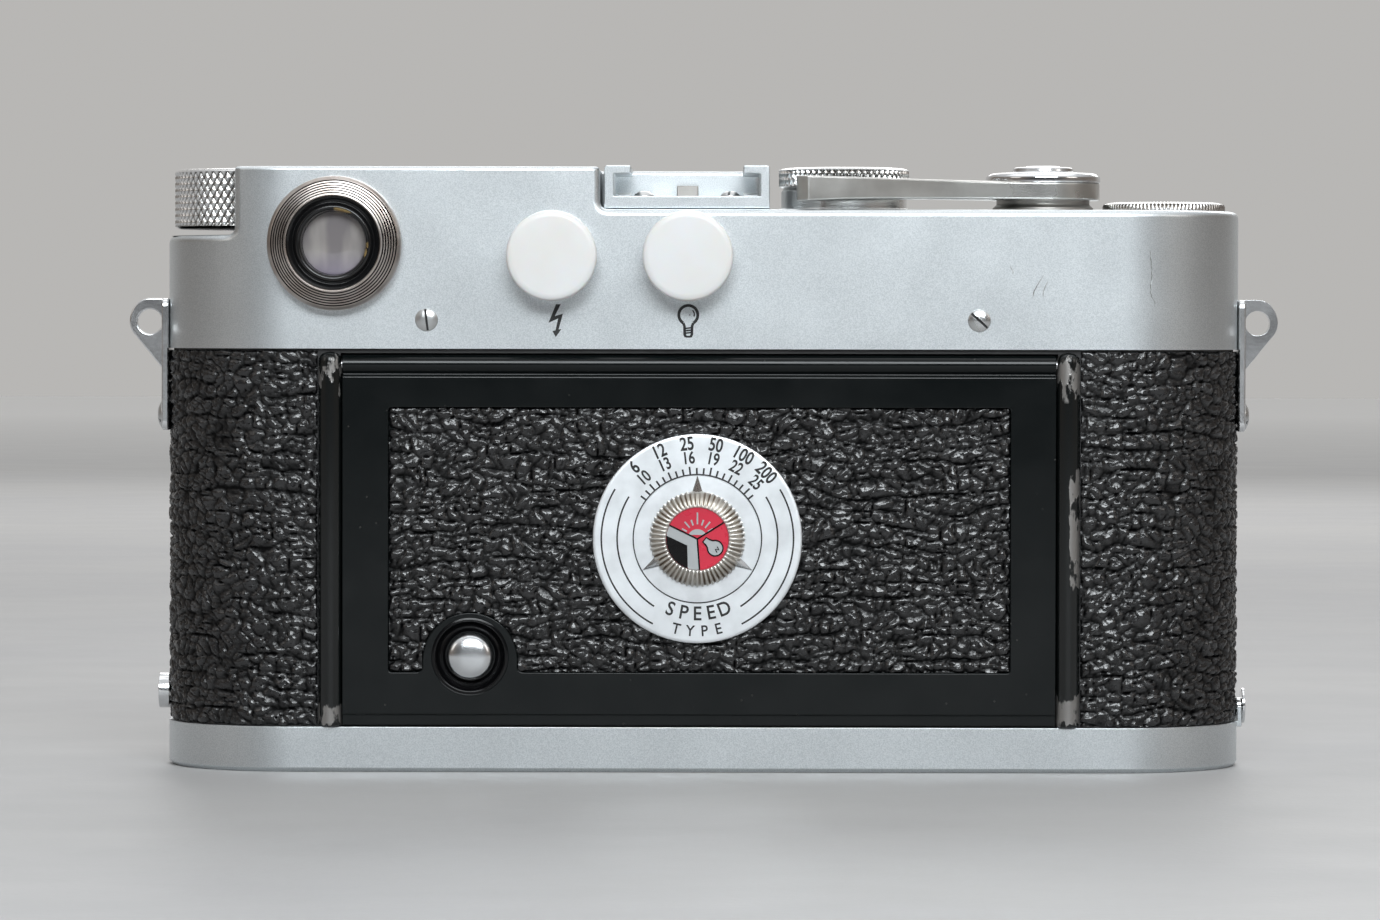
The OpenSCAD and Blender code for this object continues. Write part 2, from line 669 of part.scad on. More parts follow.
module lens_mount() color([0.8, 0.81, 0.82]) difference() {
    rod_y(lens_x, lens_z, shell_r, mount_y, 23.2);
    rod_y(lens_x, lens_z, 10, 30, 19.7 + run_fit);
    for (a = [45 : 90 : 315])
        rod_y(lens_x + 21.7 * cos(a), lens_z + 21.7 * sin(a), 10, 30, 1);
}

module mount_screws() color([0.7, 0.71, 0.73]) for (a = [45 : 90 : 315])
    rod_y(lens_x + 21.7 * cos(a), lens_z + 21.7 * sin(a), shell_r, mount_y - 0.1, 0.95);

module lens_barrel() color([0.8, 0.81, 0.82]) turned_y(lens_x, lens_z) polygon([
    [15.5, shell_r - 0.5], [19.7, shell_r - 0.5], [19.7, mount_y + 0.05], [20.4, mount_y + 0.05], [20.6, mount_y + 2.8],
    [17.5, mount_y + 2.8], [17.5, 38], [15.5, 38]
]);

module focus_ring() color([0.76, 0.77, 0.78]) translate([lens_x, mount_y + 3.1, lens_z]) rotate([-90, 0, 0]) difference() {
    union() {
        cylinder(h = 4.6, r = 21.6);
        translate([0, 0, 4.6]) fluted(22.3, 0.8, 36, 5.4);
        translate([0, 0, 10]) cylinder(h = 0.9, r = 21.2);
    }
    translate([0, 0, -eps]) cylinder(h = 13, r = 17.5 + play);
}

head_front = 50;

module lens_head() color([0.8, 0.81, 0.82]) turned_y(lens_x, lens_z) polygon([
    [12.6, 10], [15.2, 10], [15.2, 43.4], [20.4, 43.4], [20.8, 43.9], [20.8, head_front - 0.3], [20.5, head_front],
    [filter_r, head_front], [filter_r, head_front - filter_len], [18.4, head_front - filter_len],
    [13.4, 45.4], [12.6, 45.2]
]);

module aperture_ring() color([0.74, 0.75, 0.76]) translate([lens_x, 38.6, lens_z]) rotate([-90, 0, 0]) difference() {
    union() {
        fluted(20.3, 0.5, 60, 2.2);
        translate([0, 0, 2]) cylinder(h = 2.5, r = 19.8);
    }
    translate([0, 0, -eps]) cylinder(h = 6, r = 15.2 + play);
}

module lens_elements() color([0.35, 0.32, 0.5, 0.5]) {
    turned_y(lens_x, lens_z) polygon(concat(
        [[0, 40.5], [12.55, 40.5]],
        [for (i = [0 : 6]) let (r = 12.55 * (1 - i / 6)) [r, 42.2 + 2.2 * (1 - pow(r / 12.55, 2))]]
    ));
    turned_y(lens_x, lens_z) polygon(concat(
        [[0, 14], [12.55, 14]],
        [for (i = [0 : 6]) let (r = 12.55 * (1 - i / 6)) [r, 12.6 - 1.4 * (1 - pow(r / 12.55, 2))]]
    ));
}

// A lever on the front: a round boss and an arm that points away from it at an angle below the horizontal
module front_lever(pivot, boss_r, arm, arm_w, tip_w, drop) {
    rod_y(pivot[0], pivot[1], shell_r - 0.6, end_r + 0.1, pivot[2]);
    rod_y(pivot[0], pivot[1], end_r + 0.1, end_r + 2.8, boss_r);
    translate([pivot[0], end_r + 0.5, pivot[1]]) rotate([-90, drop, 0]) linear_extrude(1.5)
        polygon([[0, -arm_w / 2], [arm, -tip_w / 2], [arm + 1.2, 0], [arm, tip_w / 2], [0, arm_w / 2]]);
}

module frame_selector_lever() color([0.8, 0.81, 0.82]) front_lever(selector_pivot, 3.4, 12.5, 4, 3, 90);

module self_timer_lever() color([0.8, 0.81, 0.82]) front_lever(timer_pivot, 4.6, 20, 6.4, 4.4, 90);

module rewind_release_lever() color([0.8, 0.81, 0.82]) front_lever(release_pivot, 3, 6.2, 3.4, 2.6, 90);

module lens_release_button() color([0.82, 0.83, 0.85]) turned_y(release_button_at[0], release_button_at[1]) polygon([
    [0, shell_r - 0.6], [2.2, shell_r - 0.6], [2.2, end_r + 1.8], [3.2, end_r + 1.8], [3.2, end_r + 3.6],
    [2.9, end_r + 3.9], [0, end_r + 3.9]
]);

// ---------------------------------------------------------------- shutter and film transport

module shutter_curtain() color([0.05, 0.05, 0.055])
    block(spring_drum_x + 0.5, wind_drum_x - 0.5, curtain_y, curtain_y + 0.2, 14, 44.5);

module drum(x, r) {
    rod_z(x, drum_y, 13.5, 45, r);
    rod_z(x, drum_y, 8, 50, 1.5);
    for (z = [12.5, 45]) rod_z(x, drum_y, z, z + 1, r + 0.15);
}

module wind_drum() color([0.6, 0.6, 0.58]) drum(wind_drum_x, wind_drum_r);

module spring_drum() color([0.6, 0.6, 0.58]) drum(spring_drum_x, spring_drum_r);

module sprocket_shaft() color([0.72, 0.72, 0.74]) {
    rod_z(sprocket_x, sprocket_y, 12, 46.5, 3.6);
    rod_z(sprocket_x, sprocket_y, 8, 50, 1.5);
    for (z = [14.6, 42.9]) {
        rod_z(sprocket_x, sprocket_y, z - 1, z + 1, sprocket_r);
        for (a = [0 : 45 : 315])
            translate([sprocket_x, sprocket_y, z]) rotate([0, 0, a + 22.5])
                translate([sprocket_r, 0, 0]) cube([1, 0.9, 0.9], center = true);
    }
}

module take_up_spool() color([0.72, 0.72, 0.7]) difference() {
    union() {
        rod_z(take_up_x, 0, 7, 49, 5.5);
        for (z = [7, 48]) rod_z(take_up_x, 0, z, z + 1, 10);
        rod_z(take_up_x, 0, 49, 52.5, 2);
    }
    block(take_up_x - 6, take_up_x + 6, -0.6, 0.6, 14, 42);
    rod_z(take_up_x, 0, 6, 12, 3);
}

// ---------------------------------------------------------------- the parts, one by one

base_plate();
tripod_bush();
base_key();
key_wing();
body_shell();
inner_frame();
leather_left();
leather_right();
door_beads();
top_cover();
cover_screws();
strap_lug_left();
strap_lug_right();
lug_screws();
side_studs();
back_door();
hinge_pin();
door_leather();
pressure_plate();
door_springs();
film_speed_disc();
film_speed_ring();
film_type_disc();
door_button();
eyepiece_ring();
eyepiece_bezel();
eyepiece_lens();
flash_sockets();
flash_cap_left();
flash_cap_right();
accessory_shoe();
shoe_screws();
shoe_spring();
speed_dial();
advance_lever();
lever_hub();
shutter_button();
frame_counter();
rewind_knob();
rewind_shaft();
finder_window();
illumination_window();
rangefinder_window();
finder_block();
lens_mount();
mount_screws();
lens_barrel();
focus_ring();
lens_head();
aperture_ring();
lens_elements();
lens_release_button();
frame_selector_lever();
self_timer_lever();
rewind_release_lever();
shutter_curtain();
wind_drum();
spring_drum();
sprocket_shaft();
take_up_spool();
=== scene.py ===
"""Looks of a 35 mm rangefinder camera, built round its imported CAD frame. Lengths are in millimetres unless a
name or comment says otherwise; the mesh helpers turn them into metres."""
import json
from contextlib import contextmanager
from math import cos, hypot, pi, radians, sin

import bmesh
import bpy
import numpy as np
from mathutils import Matrix, Vector


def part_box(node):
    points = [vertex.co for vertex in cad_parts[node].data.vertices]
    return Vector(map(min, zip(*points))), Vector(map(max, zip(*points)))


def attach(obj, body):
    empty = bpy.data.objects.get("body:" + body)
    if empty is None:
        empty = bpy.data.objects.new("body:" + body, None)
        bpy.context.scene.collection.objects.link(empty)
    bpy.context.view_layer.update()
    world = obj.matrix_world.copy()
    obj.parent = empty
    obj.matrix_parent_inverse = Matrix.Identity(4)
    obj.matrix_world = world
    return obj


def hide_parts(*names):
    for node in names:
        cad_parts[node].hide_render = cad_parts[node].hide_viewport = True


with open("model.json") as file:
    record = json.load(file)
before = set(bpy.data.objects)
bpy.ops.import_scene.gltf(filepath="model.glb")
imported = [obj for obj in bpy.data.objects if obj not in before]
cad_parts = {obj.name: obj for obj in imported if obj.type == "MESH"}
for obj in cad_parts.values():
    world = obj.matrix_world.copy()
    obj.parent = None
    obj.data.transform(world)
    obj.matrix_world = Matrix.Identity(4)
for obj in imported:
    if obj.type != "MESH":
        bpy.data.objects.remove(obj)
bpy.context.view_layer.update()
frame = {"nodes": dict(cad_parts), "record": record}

MM = 0.001
TAU = 2 * pi
SIDES = ((-1, "left"), (1, "right"))


# ---------------------------------------------------------------- places, from the frame

def span(node):
    """Lowest and highest corner of a CAD node, in mm."""
    low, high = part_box(node)
    return np.array(low) / MM, np.array(high) / MM


def middle(node):
    low, high = span(node)
    return (low + high) / 2


PLATE_LOW, PLATE_HIGH = span("base_plate")
COVER_LOW, COVER_HIGH = span("top_cover")
END_R = PLATE_HIGH[1]                       # radius of the body's rounded ends
END_X = -PLATE_LOW[0] - END_R               # centres of the rounded ends
REAR = -END_R
COVER_Z = COVER_LOW[2]
HOUSING_Z = COVER_HIGH[2] - 0.35            # top of the raised part of the cover
SHOE_LOW, SHOE_HIGH = span("accessory_shoe")
DECK_Z = SHOE_LOW[2]                        # top of the cover right of the raised part
LEDGE_Z = 68.0                              # the step under the rewind knob
DOOR_LOW, DOOR_HIGH = span("back_door")
KNOB = middle("rewind_knob")
KNOB_R = (span("rewind_knob")[1][0] - span("rewind_knob")[0][0]) / 2
DIAL = middle("speed_dial")
HUB = middle("lever_hub")
COUNTER = middle("frame_counter")
EYE = middle("eyepiece_ring")
DISC = middle("film_speed_disc")
BUTTON = middle("door_button")
LENS = middle("lens_mount")


# ---------------------------------------------------------------- materials

class Graph:
    """Makes the nodes of a tree."""

    def __init__(self, tree):
        self.nodes = tree.nodes
        self.links = tree.links

    def add(self, kind, inputs=None, **settings):
        node = self.nodes.new(kind)
        for key, value in settings.items():
            setattr(node, key, value)
        for key, value in (inputs or {}).items():
            if isinstance(value, bpy.types.NodeSocket):
                self.links.new(value, node.inputs[key])
            else:
                node.inputs[key].default_value = value
        return node

    def ranged(self, value, low, high, to_low=0.0, to_high=1.0, **settings):
        return self.add("ShaderNodeMapRange", {
            "Value": value, "From Min": low, "From Max": high, "To Min": to_low, "To Max": to_high},
            **settings).outputs[0]

    def blend(self, factor, a, b):
        """Colour a where factor is 0 and b where it is 1."""
        node = self.add("ShaderNodeMix", data_type="RGBA")
        self.links.new(factor, node.inputs["Factor"])
        for target, value in zip([s for s in node.inputs if s.type == "RGBA"], (a, b)):
            if isinstance(value, bpy.types.NodeSocket):
                self.links.new(value, target)
            else:
                target.default_value = (*value, 1)
        return [s for s in node.outputs if s.type == "RGBA"][0]


class Look(Graph):
    """A material made of procedural nodes on one Principled shader. Sizes of patterns are in mm."""

    def __init__(self, name, color, roughness, metallic=0.0, **sockets):
        self.material = bpy.data.materials.new(name)
        self.material.use_nodes = True
        super().__init__(self.material.node_tree)
        self.shader = self.nodes["Principled BSDF"]
        self.shader.inputs["Base Color"].default_value = (*color, 1)
        self.shader.inputs["Roughness"].default_value = roughness
        self.shader.inputs["Metallic"].default_value = metallic
        for key, value in sockets.items():
            self.shader.inputs[key.replace("_", " ")].default_value = value
        self.place = self.add("ShaderNodeTexCoord").outputs["Object"]
        self.normal = None

    def scaled(self, size, stretch=(1, 1, 1)):
        scale = tuple(1 / (MM * size * s) for s in stretch)
        return self.add("ShaderNodeMapping", {"Vector": self.place, "Scale": scale}).outputs[0]

    def noise(self, size, detail=2.0, stretch=(1, 1, 1)):
        spot = self.scaled(size, stretch)
        return self.add("ShaderNodeTexNoise", {"Vector": spot, "Scale": 1.0, "Detail": detail}).outputs["Fac"]

    def cells(self, size, stretch=(1, 1, 1)):
        spot = self.scaled(size, stretch)
        return self.add("ShaderNodeTexVoronoi", {"Vector": spot, "Scale": 1.0}).outputs["Distance"]

    def patchy(self, size, detail, *ranged):
        return self.ranged(self.noise(size, detail), *ranged)

    def math(self, operation, a, b=0.0):
        return self.add("ShaderNodeMath", {0: a, 1: b}, operation=operation).outputs[0]

    def times(self, a, b):
        return self.math("MULTIPLY", a, b)

    def less(self, a, b):
        return self.math("SUBTRACT", a, b)

    def most(self, a, b):
        return self.math("MAXIMUM", a, b)

    def axis(self, which):
        return self.add("ShaderNodeSeparateXYZ", {0: self.place}).outputs[which]

    def relief(self):
        """The relief attribute of the mesh: 0 in its hollows, 1 on its ridges."""
        return self.add("ShaderNodeAttribute", attribute_name="relief").outputs["Fac"]

    def near(self, value, centre, half, fade):
        """1 where a length is within half mm of centre, fading to 0 over the last fade mm. centre is a number
        of mm or another node's output."""
        if not isinstance(centre, bpy.types.NodeSocket):
            centre *= MM
        away = self.math("ABSOLUTE", self.less(value, centre))
        return self.ranged(away, (half - fade) * MM, half * MM, 1.0, 0.0)

    def use(self, socket, value):
        self.links.new(value, self.shader.inputs[socket])

    def tint(self, factor, a, b):
        self.use("Base Color", self.blend(factor, a, b))

    def rough(self, *ranged):
        self.use("Roughness", self.ranged(*ranged))

    def bump(self, height, depth, strength=1.0):
        """Adds relief of the given depth in mm to what the normal already has."""
        inputs = {"Height": height, "Distance": depth * MM, "Strength": strength}
        if self.normal:
            inputs["Normal"] = self.normal
        self.normal = self.add("ShaderNodeBump", inputs).outputs[0]
        self.use("Normal", self.normal)


def metal(name, color, roughness, grain=0.2, grain_depth=0.006, smudge=0.06, brushed=None):
    """Metal with a fine grain, uneven polish and faint stains. brushed stretches the grain along an axis."""
    look = Look(name, color, roughness, 1.0)
    look.rough(look.noise(9.0, 4.0), 0.3, 0.7, roughness - smudge, roughness + smudge)
    dull = tuple(c * 0.86 for c in color)
    look.tint(look.patchy(3.0, 5.0, 0.42, 0.72), color, dull)
    look.bump(look.noise(grain, 1.5, brushed or (1, 1, 1)), grain_depth)
    return look


# Cracks and rubs of the rear of the cover: x at the foot, lean, lowest z, highest z and width
CHROME_MARKS = ((57.0, -0.08, 58.9, 66.4, 0.07), (43.0, 0.35, 60.2, 62.4, 0.07),
                (41.6, 0.5, 60.0, 63.2, 0.08), (39.3, -0.6, 62.9, 64.3, 0.06),
                (-19.8, 0.3, 60.0, 62.6, 0.06))


def satin_chrome(name, marked=False):
    """Bead-blasted chrome with a sparkling grain. marked adds the cracks and rubs of the cover's rear."""
    look = metal(name, (0.67, 0.705, 0.725), 0.36, 0.13, 0.009, 0.02)
    fleck = look.patchy(0.12, 0.5, 0.32, 0.68)
    tone = look.blend(fleck, (0.61, 0.65, 0.67), (0.77, 0.805, 0.825))
    if marked:
        x, z = look.axis(0), look.axis(2)
        crack = None
        for start, lean, low, high, width in CHROME_MARKS:
            wander = look.times(look.less(look.noise(2.2, 3.0, (40, 40, 1)), 0.5), 1.6 * MM)
            line = look.math("ADD", wander, look.times(look.less(z, low * MM), lean))
            half = (high - low) / 2
            one = look.times(look.near(look.less(x, start * MM), line, width, width * 0.6),
                             look.near(z, low + half, half, 0.5))
            crack = one if crack is None else look.most(crack, one)
        rubbed = look.times(crack, look.patchy(0.8, 2.0, 0.35, 0.6, 0.25, 0.85))
        tone = look.blend(rubbed, tone, (0.2, 0.19, 0.18))
        look.bump(look.less(1.0, crack), 0.02)
    look.use("Base Color", tone)
    return look.material


def black_paint():
    """Glossy enamel, a little uneven, with dust and hairlines."""
    look = Look("black_paint", (0.003, 0.0045, 0.0045), 0.13, 0.0, Specular_IOR_Level=0.3)
    dust = look.ranged(look.cells(2.6), 0.03, 0.05, 1.0, 0.0)
    look.tint(dust, (0.003, 0.0045, 0.0048), (0.04, 0.04, 0.037))
    look.rough(look.noise(7.0, 5.0), 0.35, 0.75, 0.1, 0.24)
    look.bump(look.noise(4.0, 1.0), 0.012, 0.6)
    look.bump(look.ranged(look.noise(1.3, 3.0, (1, 1, 16)), 0.68, 0.71), 0.003, 0.5)
    return look.material


def worn_paint():
    """The same enamel on the beads, rubbed through to grey metal at their ends and in a streak."""
    look = Look("worn_paint", (0.004, 0.005, 0.005), 0.2)
    x, z = look.axis(0), look.axis(2)
    right = look.ranged(x, 0.0, 0.01)
    left = look.less(1.0, right)
    streak = look.times(right, look.ranged(x, 46.1 * MM, 46.4 * MM))
    streak = look.times(streak, look.near(z, 31.5, 8.5, 3.0))
    top = look.times(look.ranged(right, 0, 1, 0.75, 1.0), look.near(z, 50.5, 3.8, 3.0))
    foot = look.times(left, look.near(z, 7.2, 2.2, 1.4))
    foot = look.most(foot, look.times(right, look.near(z, 8.0, 3.0, 2.0)))
    reach = look.most(streak, look.most(top, foot))
    ragged = look.math("ADD", look.noise(1.1, 4.0, (1, 1, 2.6)), look.ranged(reach, 0, 1, -0.22, 0.07))
    worn = look.times(look.ranged(ragged, 0.47, 0.53), look.ranged(reach, 0.02, 0.2))
    look.tint(worn, (0.004, 0.005, 0.005), (0.3, 0.29, 0.28))
    look.rough(worn, 0, 1, 0.17, 0.42)
    look.use("Metallic", look.ranged(worn, 0, 1, 0.0, 0.85))
    look.bump(look.less(1.0, worn), 0.04)
    return look.material


def leather():
    """Black pebbled leather with painted shade in its creases. The relief attribute, 0 in a crease and 1 on a
    ridge, comes with the mesh.
    """
    look = Look("black_leather", (0.006, 0.006, 0.0065), 0.3, 0.0, Specular_IOR_Level=0.5)
    relief = look.relief()
    fine = look.noise(0.3, 2.0)
    # Painted shade: the creases are painted darker than the ridges and given much less specular.
    tone = look.blend(look.ranged(relief, 0.3, 0.9), (0.0008, 0.0008, 0.001), (0.006, 0.006, 0.0068))
    look.use("Base Color", tone)
    look.use("Specular IOR Level", look.ranged(relief, 0.25, 0.75, 0.1, 0.85))
    shine = look.math("ADD", look.ranged(relief, 0.3, 0.8, 0.4, 0.18),
                      look.ranged(fine, 0.3, 0.7, -0.03, 0.07))
    look.use("Roughness", shine)
    look.bump(look.cells(0.62, (1.35, 1.35, 1)), 0.09)
    look.bump(fine, 0.035)
    return look.material


def plain(name, color, roughness, speck=0.25, depth=0.006, **sockets):
    """Paint, plastic or enamel with a faint mottle and a fine skin."""
    look = Look(name, color, roughness, **sockets)
    other = tuple(c * 0.84 for c in color)
    look.tint(look.patchy(4.0, 4.0, 0.35, 0.7), color, other)
    look.rough(look.noise(2.0, 4.0), 0.3, 0.7, max(roughness - 0.06, 0.02), roughness + 0.08)
    look.bump(look.noise(speck, 2.0), depth)
    return look.material


def milk_plastic():
    look = Look("milk_plastic", (0.75, 0.755, 0.755), 0.34, 0.0, Subsurface_Weight=0.15,
                Subsurface_Scale=0.002)
    warm = look.patchy(7.0, 2.0, 0.35, 0.7)
    look.tint(warm, (0.755, 0.766, 0.775), (0.735, 0.727, 0.705))
    look.bump(look.noise(1.2, 3.0), 0.008)
    return look.material


def dirty_nickel():
    """Nickel whose hollows have gone brown."""
    look = metal("dirty_nickel", (0.66, 0.63, 0.58), 0.32, 0.4, 0.004)
    cavity = look.relief()
    grime = look.times(look.ranged(cavity, 0.0, 0.55, 1.0, 0.0), look.patchy(2.2, 3.0, 0.3, 0.6))
    look.tint(grime, (0.72, 0.70, 0.66), (0.16, 0.11, 0.07))
    return look.material


def knurled_chrome():
    """Chrome whose knurling is darker between its points: dirt and painted shade in the hollows."""
    look = metal("knurled_chrome", (0.74, 0.74, 0.735), 0.24, 0.25, 0.004, 0.05)
    cavity = look.relief()
    # The hollows are darkened almost evenly: painted shade, with some dirt in the patchy unevenness.
    grime = look.times(look.ranged(cavity, 0.38, 0.8, 1.0, 0.0), look.patchy(3.0, 3.0, 0.2, 0.5, 0.6, 1.0))
    look.tint(grime, (0.78, 0.78, 0.775), (0.1, 0.09, 0.078))
    return look.material


def bronzed_ring():
    look = metal("bronzed_ring", (0.34, 0.31, 0.29), 0.3, 0.3, 0.004)
    cavity = look.relief()
    rim = look.patchy(3.0, 3.0, 0.4, 0.65)
    tone = look.blend(rim, (0.52, 0.475, 0.445), (0.38, 0.33, 0.30))
    # Painted shade: the grooves between the ring's fine steps are painted near-black.
    look.tint(look.ranged(cavity, 0.75, 1.0, 1.0, 0.0), tone, (0.008, 0.007, 0.006))
    return look.material


def worn_ring():
    """Black lacquer of the eyepiece's inner ring, rubbed to brass at its upper right."""
    look = Look("worn_ring", (0.006, 0.006, 0.0065), 0.22, 0.0, Specular_IOR_Level=0.5)
    x = look.less(look.axis(0), EYE[0] * MM)
    z = look.less(look.axis(2), EYE[2] * MM)
    top = look.times(look.ranged(z, 3.7 * MM, 3.9 * MM), look.near(x, 1.3, 1.3, 0.4))
    side = look.times(look.ranged(x, 3.85 * MM, 4.0 * MM), look.near(z, -0.9, 1.1, 0.5))
    side = look.times(side, look.patchy(0.5, 2.0, 0.48, 0.54))
    inner = look.ranged(look.math("ADD", look.times(x, x), look.times(z, z)),
                        4.35 ** 2 * MM * MM, 4.5 ** 2 * MM * MM, 1.0, 0.0)
    worn = look.times(look.most(top, side), inner)
    look.tint(worn, (0.006, 0.006, 0.0065), (0.42, 0.3, 0.13))
    look.use("Metallic", look.ranged(worn, 0, 1, 0.0, 0.7))
    look.rough(look.noise(0.7, 4.0), 0.3, 0.7, 0.1, 0.2)
    look.bump(look.noise(0.8, 2.0), 0.008)
    return look.material


def eyepiece_glass():
    """Coated glass with the dim, soft view through the finder painted into its colour: paler in a band, lilac
    towards the bottom.
    """
    look = Look("eyepiece_glass", (0.2, 0.19, 0.2), 0.04, 0.0, Coat_Weight=1.0, Coat_Roughness=0.03)
    across = look.noise(2.4, 2.0, (1, 1, 3))
    band = look.blend(look.ranged(across, 0.35, 0.65), (0.34, 0.32, 0.305), (0.2, 0.185, 0.19))
    low = look.ranged(look.axis(2), (EYE[2] - 3.4) * MM, (EYE[2] - 1.0) * MM, 0.5, 0.0)
    # Painted light: the view through the finder is painted in, lilac towards the bottom.
    look.tint(low, band, (0.3, 0.26, 0.36))
    look.bump(look.noise(6.0, 0.0), 0.01)
    return look.material


def coated_glass(name, color, tint):
    """Dark glass with a painted sheen: its colour turns to the coating's tint where it faces away from the
    view, towards its rim.
    """
    look = Look(name, color, 0.03, 0.0, Coat_Weight=1.0, Coat_Roughness=0.02)
    facing = look.add("ShaderNodeLayerWeight", {"Blend": 0.35}).outputs["Facing"]
    cloud = look.patchy(8.0, 1.0, 0.3, 0.7, 0.7, 1.0)
    # Painted sheen: the tint is picked by the surface's angle to the view.
    look.tint(look.times(facing, cloud), color, tint)
    look.bump(look.noise(9.0, 0.0), 0.01)
    return look.material


def cloth():
    look = Look("curtain_cloth", (0.012, 0.012, 0.013), 0.85)
    weave = look.times(look.noise(0.25, 0.0, (1, 1, 6)), look.noise(0.25, 0.0, (6, 1, 1)))
    look.tint(look.ranged(weave, 0.15, 0.35), (0.008, 0.008, 0.009), (0.02, 0.02, 0.021))
    look.bump(weave, 0.03)
    return look.material


SATIN = satin_chrome("satin_chrome")
COVER_CHROME = satin_chrome("cover_chrome", True)
POLISHED = metal("polished_chrome", (0.80, 0.81, 0.82), 0.14, 0.5, 0.002, 0.05).material
LEVER_METAL = metal("lever_metal", (0.64, 0.635, 0.61), 0.3, 0.2, 0.008, 0.06).material
SCALE_METAL = metal("scale_metal", (0.865, 0.895, 0.92), 0.44, 0.16, 0.008, 0.03).material
STEEL = metal("bare_steel", (0.58, 0.58, 0.59), 0.32, 0.15, 0.006, 0.08, (8, 1, 1)).material
BRASS = metal("tripod_brass", (0.74, 0.56, 0.27), 0.3, 0.3, 0.006).material
BUTTON_STEEL = metal("button_steel", (0.80, 0.82, 0.84), 0.2, 0.5, 0.003, 0.05).material
NICKEL = dirty_nickel()
BRONZED = bronzed_ring()
PAINT = black_paint()
WORN_PAINT = worn_paint()
LEATHER = leather()
CASTING = plain("black_casting", (0.018, 0.018, 0.019), 0.55, 0.5, 0.03)
MATT_BLACK = plain("matt_black", (0.012, 0.012, 0.012), 0.42)
WORN_RING = worn_ring()
GLOSS_BLACK = plain("gloss_black", (0.003, 0.003, 0.0035), 0.14, Specular_IOR_Level=0.3)
# Dark paint of the lettering, also used for the painted shade in the screw slots.
ENGRAVING_AND_SLOT_SHADE = plain("engraved_paint_and_slot_shade", (0.014, 0.014, 0.015), 0.5)
RED = plain("red_enamel", (0.62, 0.028, 0.06), 0.3)
GREY = plain("grey_enamel", (0.42, 0.44, 0.45), 0.35)
MILK = milk_plastic()
FROSTED = plain("frosted_glass", (0.62, 0.64, 0.62), 0.35, 0.3, 0.05)
EYE_GLASS = eyepiece_glass()
WINDOW_GLASS = coated_glass("window_glass", (0.02, 0.024, 0.03), (0.16, 0.2, 0.26))
LENS_GLASS = coated_glass("lens_glass", (0.012, 0.010, 0.022), (0.16, 0.09, 0.3))
CLOTH = cloth()
SHOE_METAL = metal("shoe_metal", (0.74, 0.755, 0.76), 0.34, 0.2, 0.008, 0.05).material
KNURLED = knurled_chrome()
SCREW_METAL = metal("screw_metal", (0.62, 0.63, 0.63), 0.3, 0.3, 0.005, 0.08, (6, 1, 1)).material
MATT_STEEL = metal("dull_steel", (0.4, 0.38, 0.36), 0.45, 0.25, 0.01).material
LUG_CHROME = metal("lug_chrome", (0.78, 0.79, 0.80), 0.2, 0.6, 0.004, 0.06).material


# ---------------------------------------------------------------- mesh helpers

NODE_BODY = {node: body for body, nodes in frame["record"]["behaviour"]["bodies"].items() for node in nodes}
NODE_SLOT = {part["node"]: part["material_slot"] for part in frame["record"]["subparts"]}


def soften(points, steps=4, closed=False):
    """Rounds each corner of a 2D outline whose point has a third value, the distance that the round takes."""
    rounded = []
    count = len(points)
    for i, point in enumerate(points):
        corner = np.array(point[:2], float)
        reach = point[2] if len(point) > 2 else 0
        if not reach or (not closed and i in (0, count - 1)):
            rounded.append(corner)
            continue
        ends = []
        for other in (points[i - 1], points[(i + 1) % count]):
            way = np.array(other[:2], float) - corner
            ends.append(corner + way * min(reach / np.linalg.norm(way), 0.49))
        for t in np.linspace(0, 1, steps + 1):
            rounded.append((1 - t) ** 2 * ends[0] + 2 * t * (1 - t) * corner + t * t * ends[1])
    return np.array(rounded)


def rounded_box(u0, u1, v0, v1, corner, steps=4):
    return soften([(u0, v0, corner), (u1, v0, corner), (u1, v1, corner), (u0, v1, corner)], steps, True)


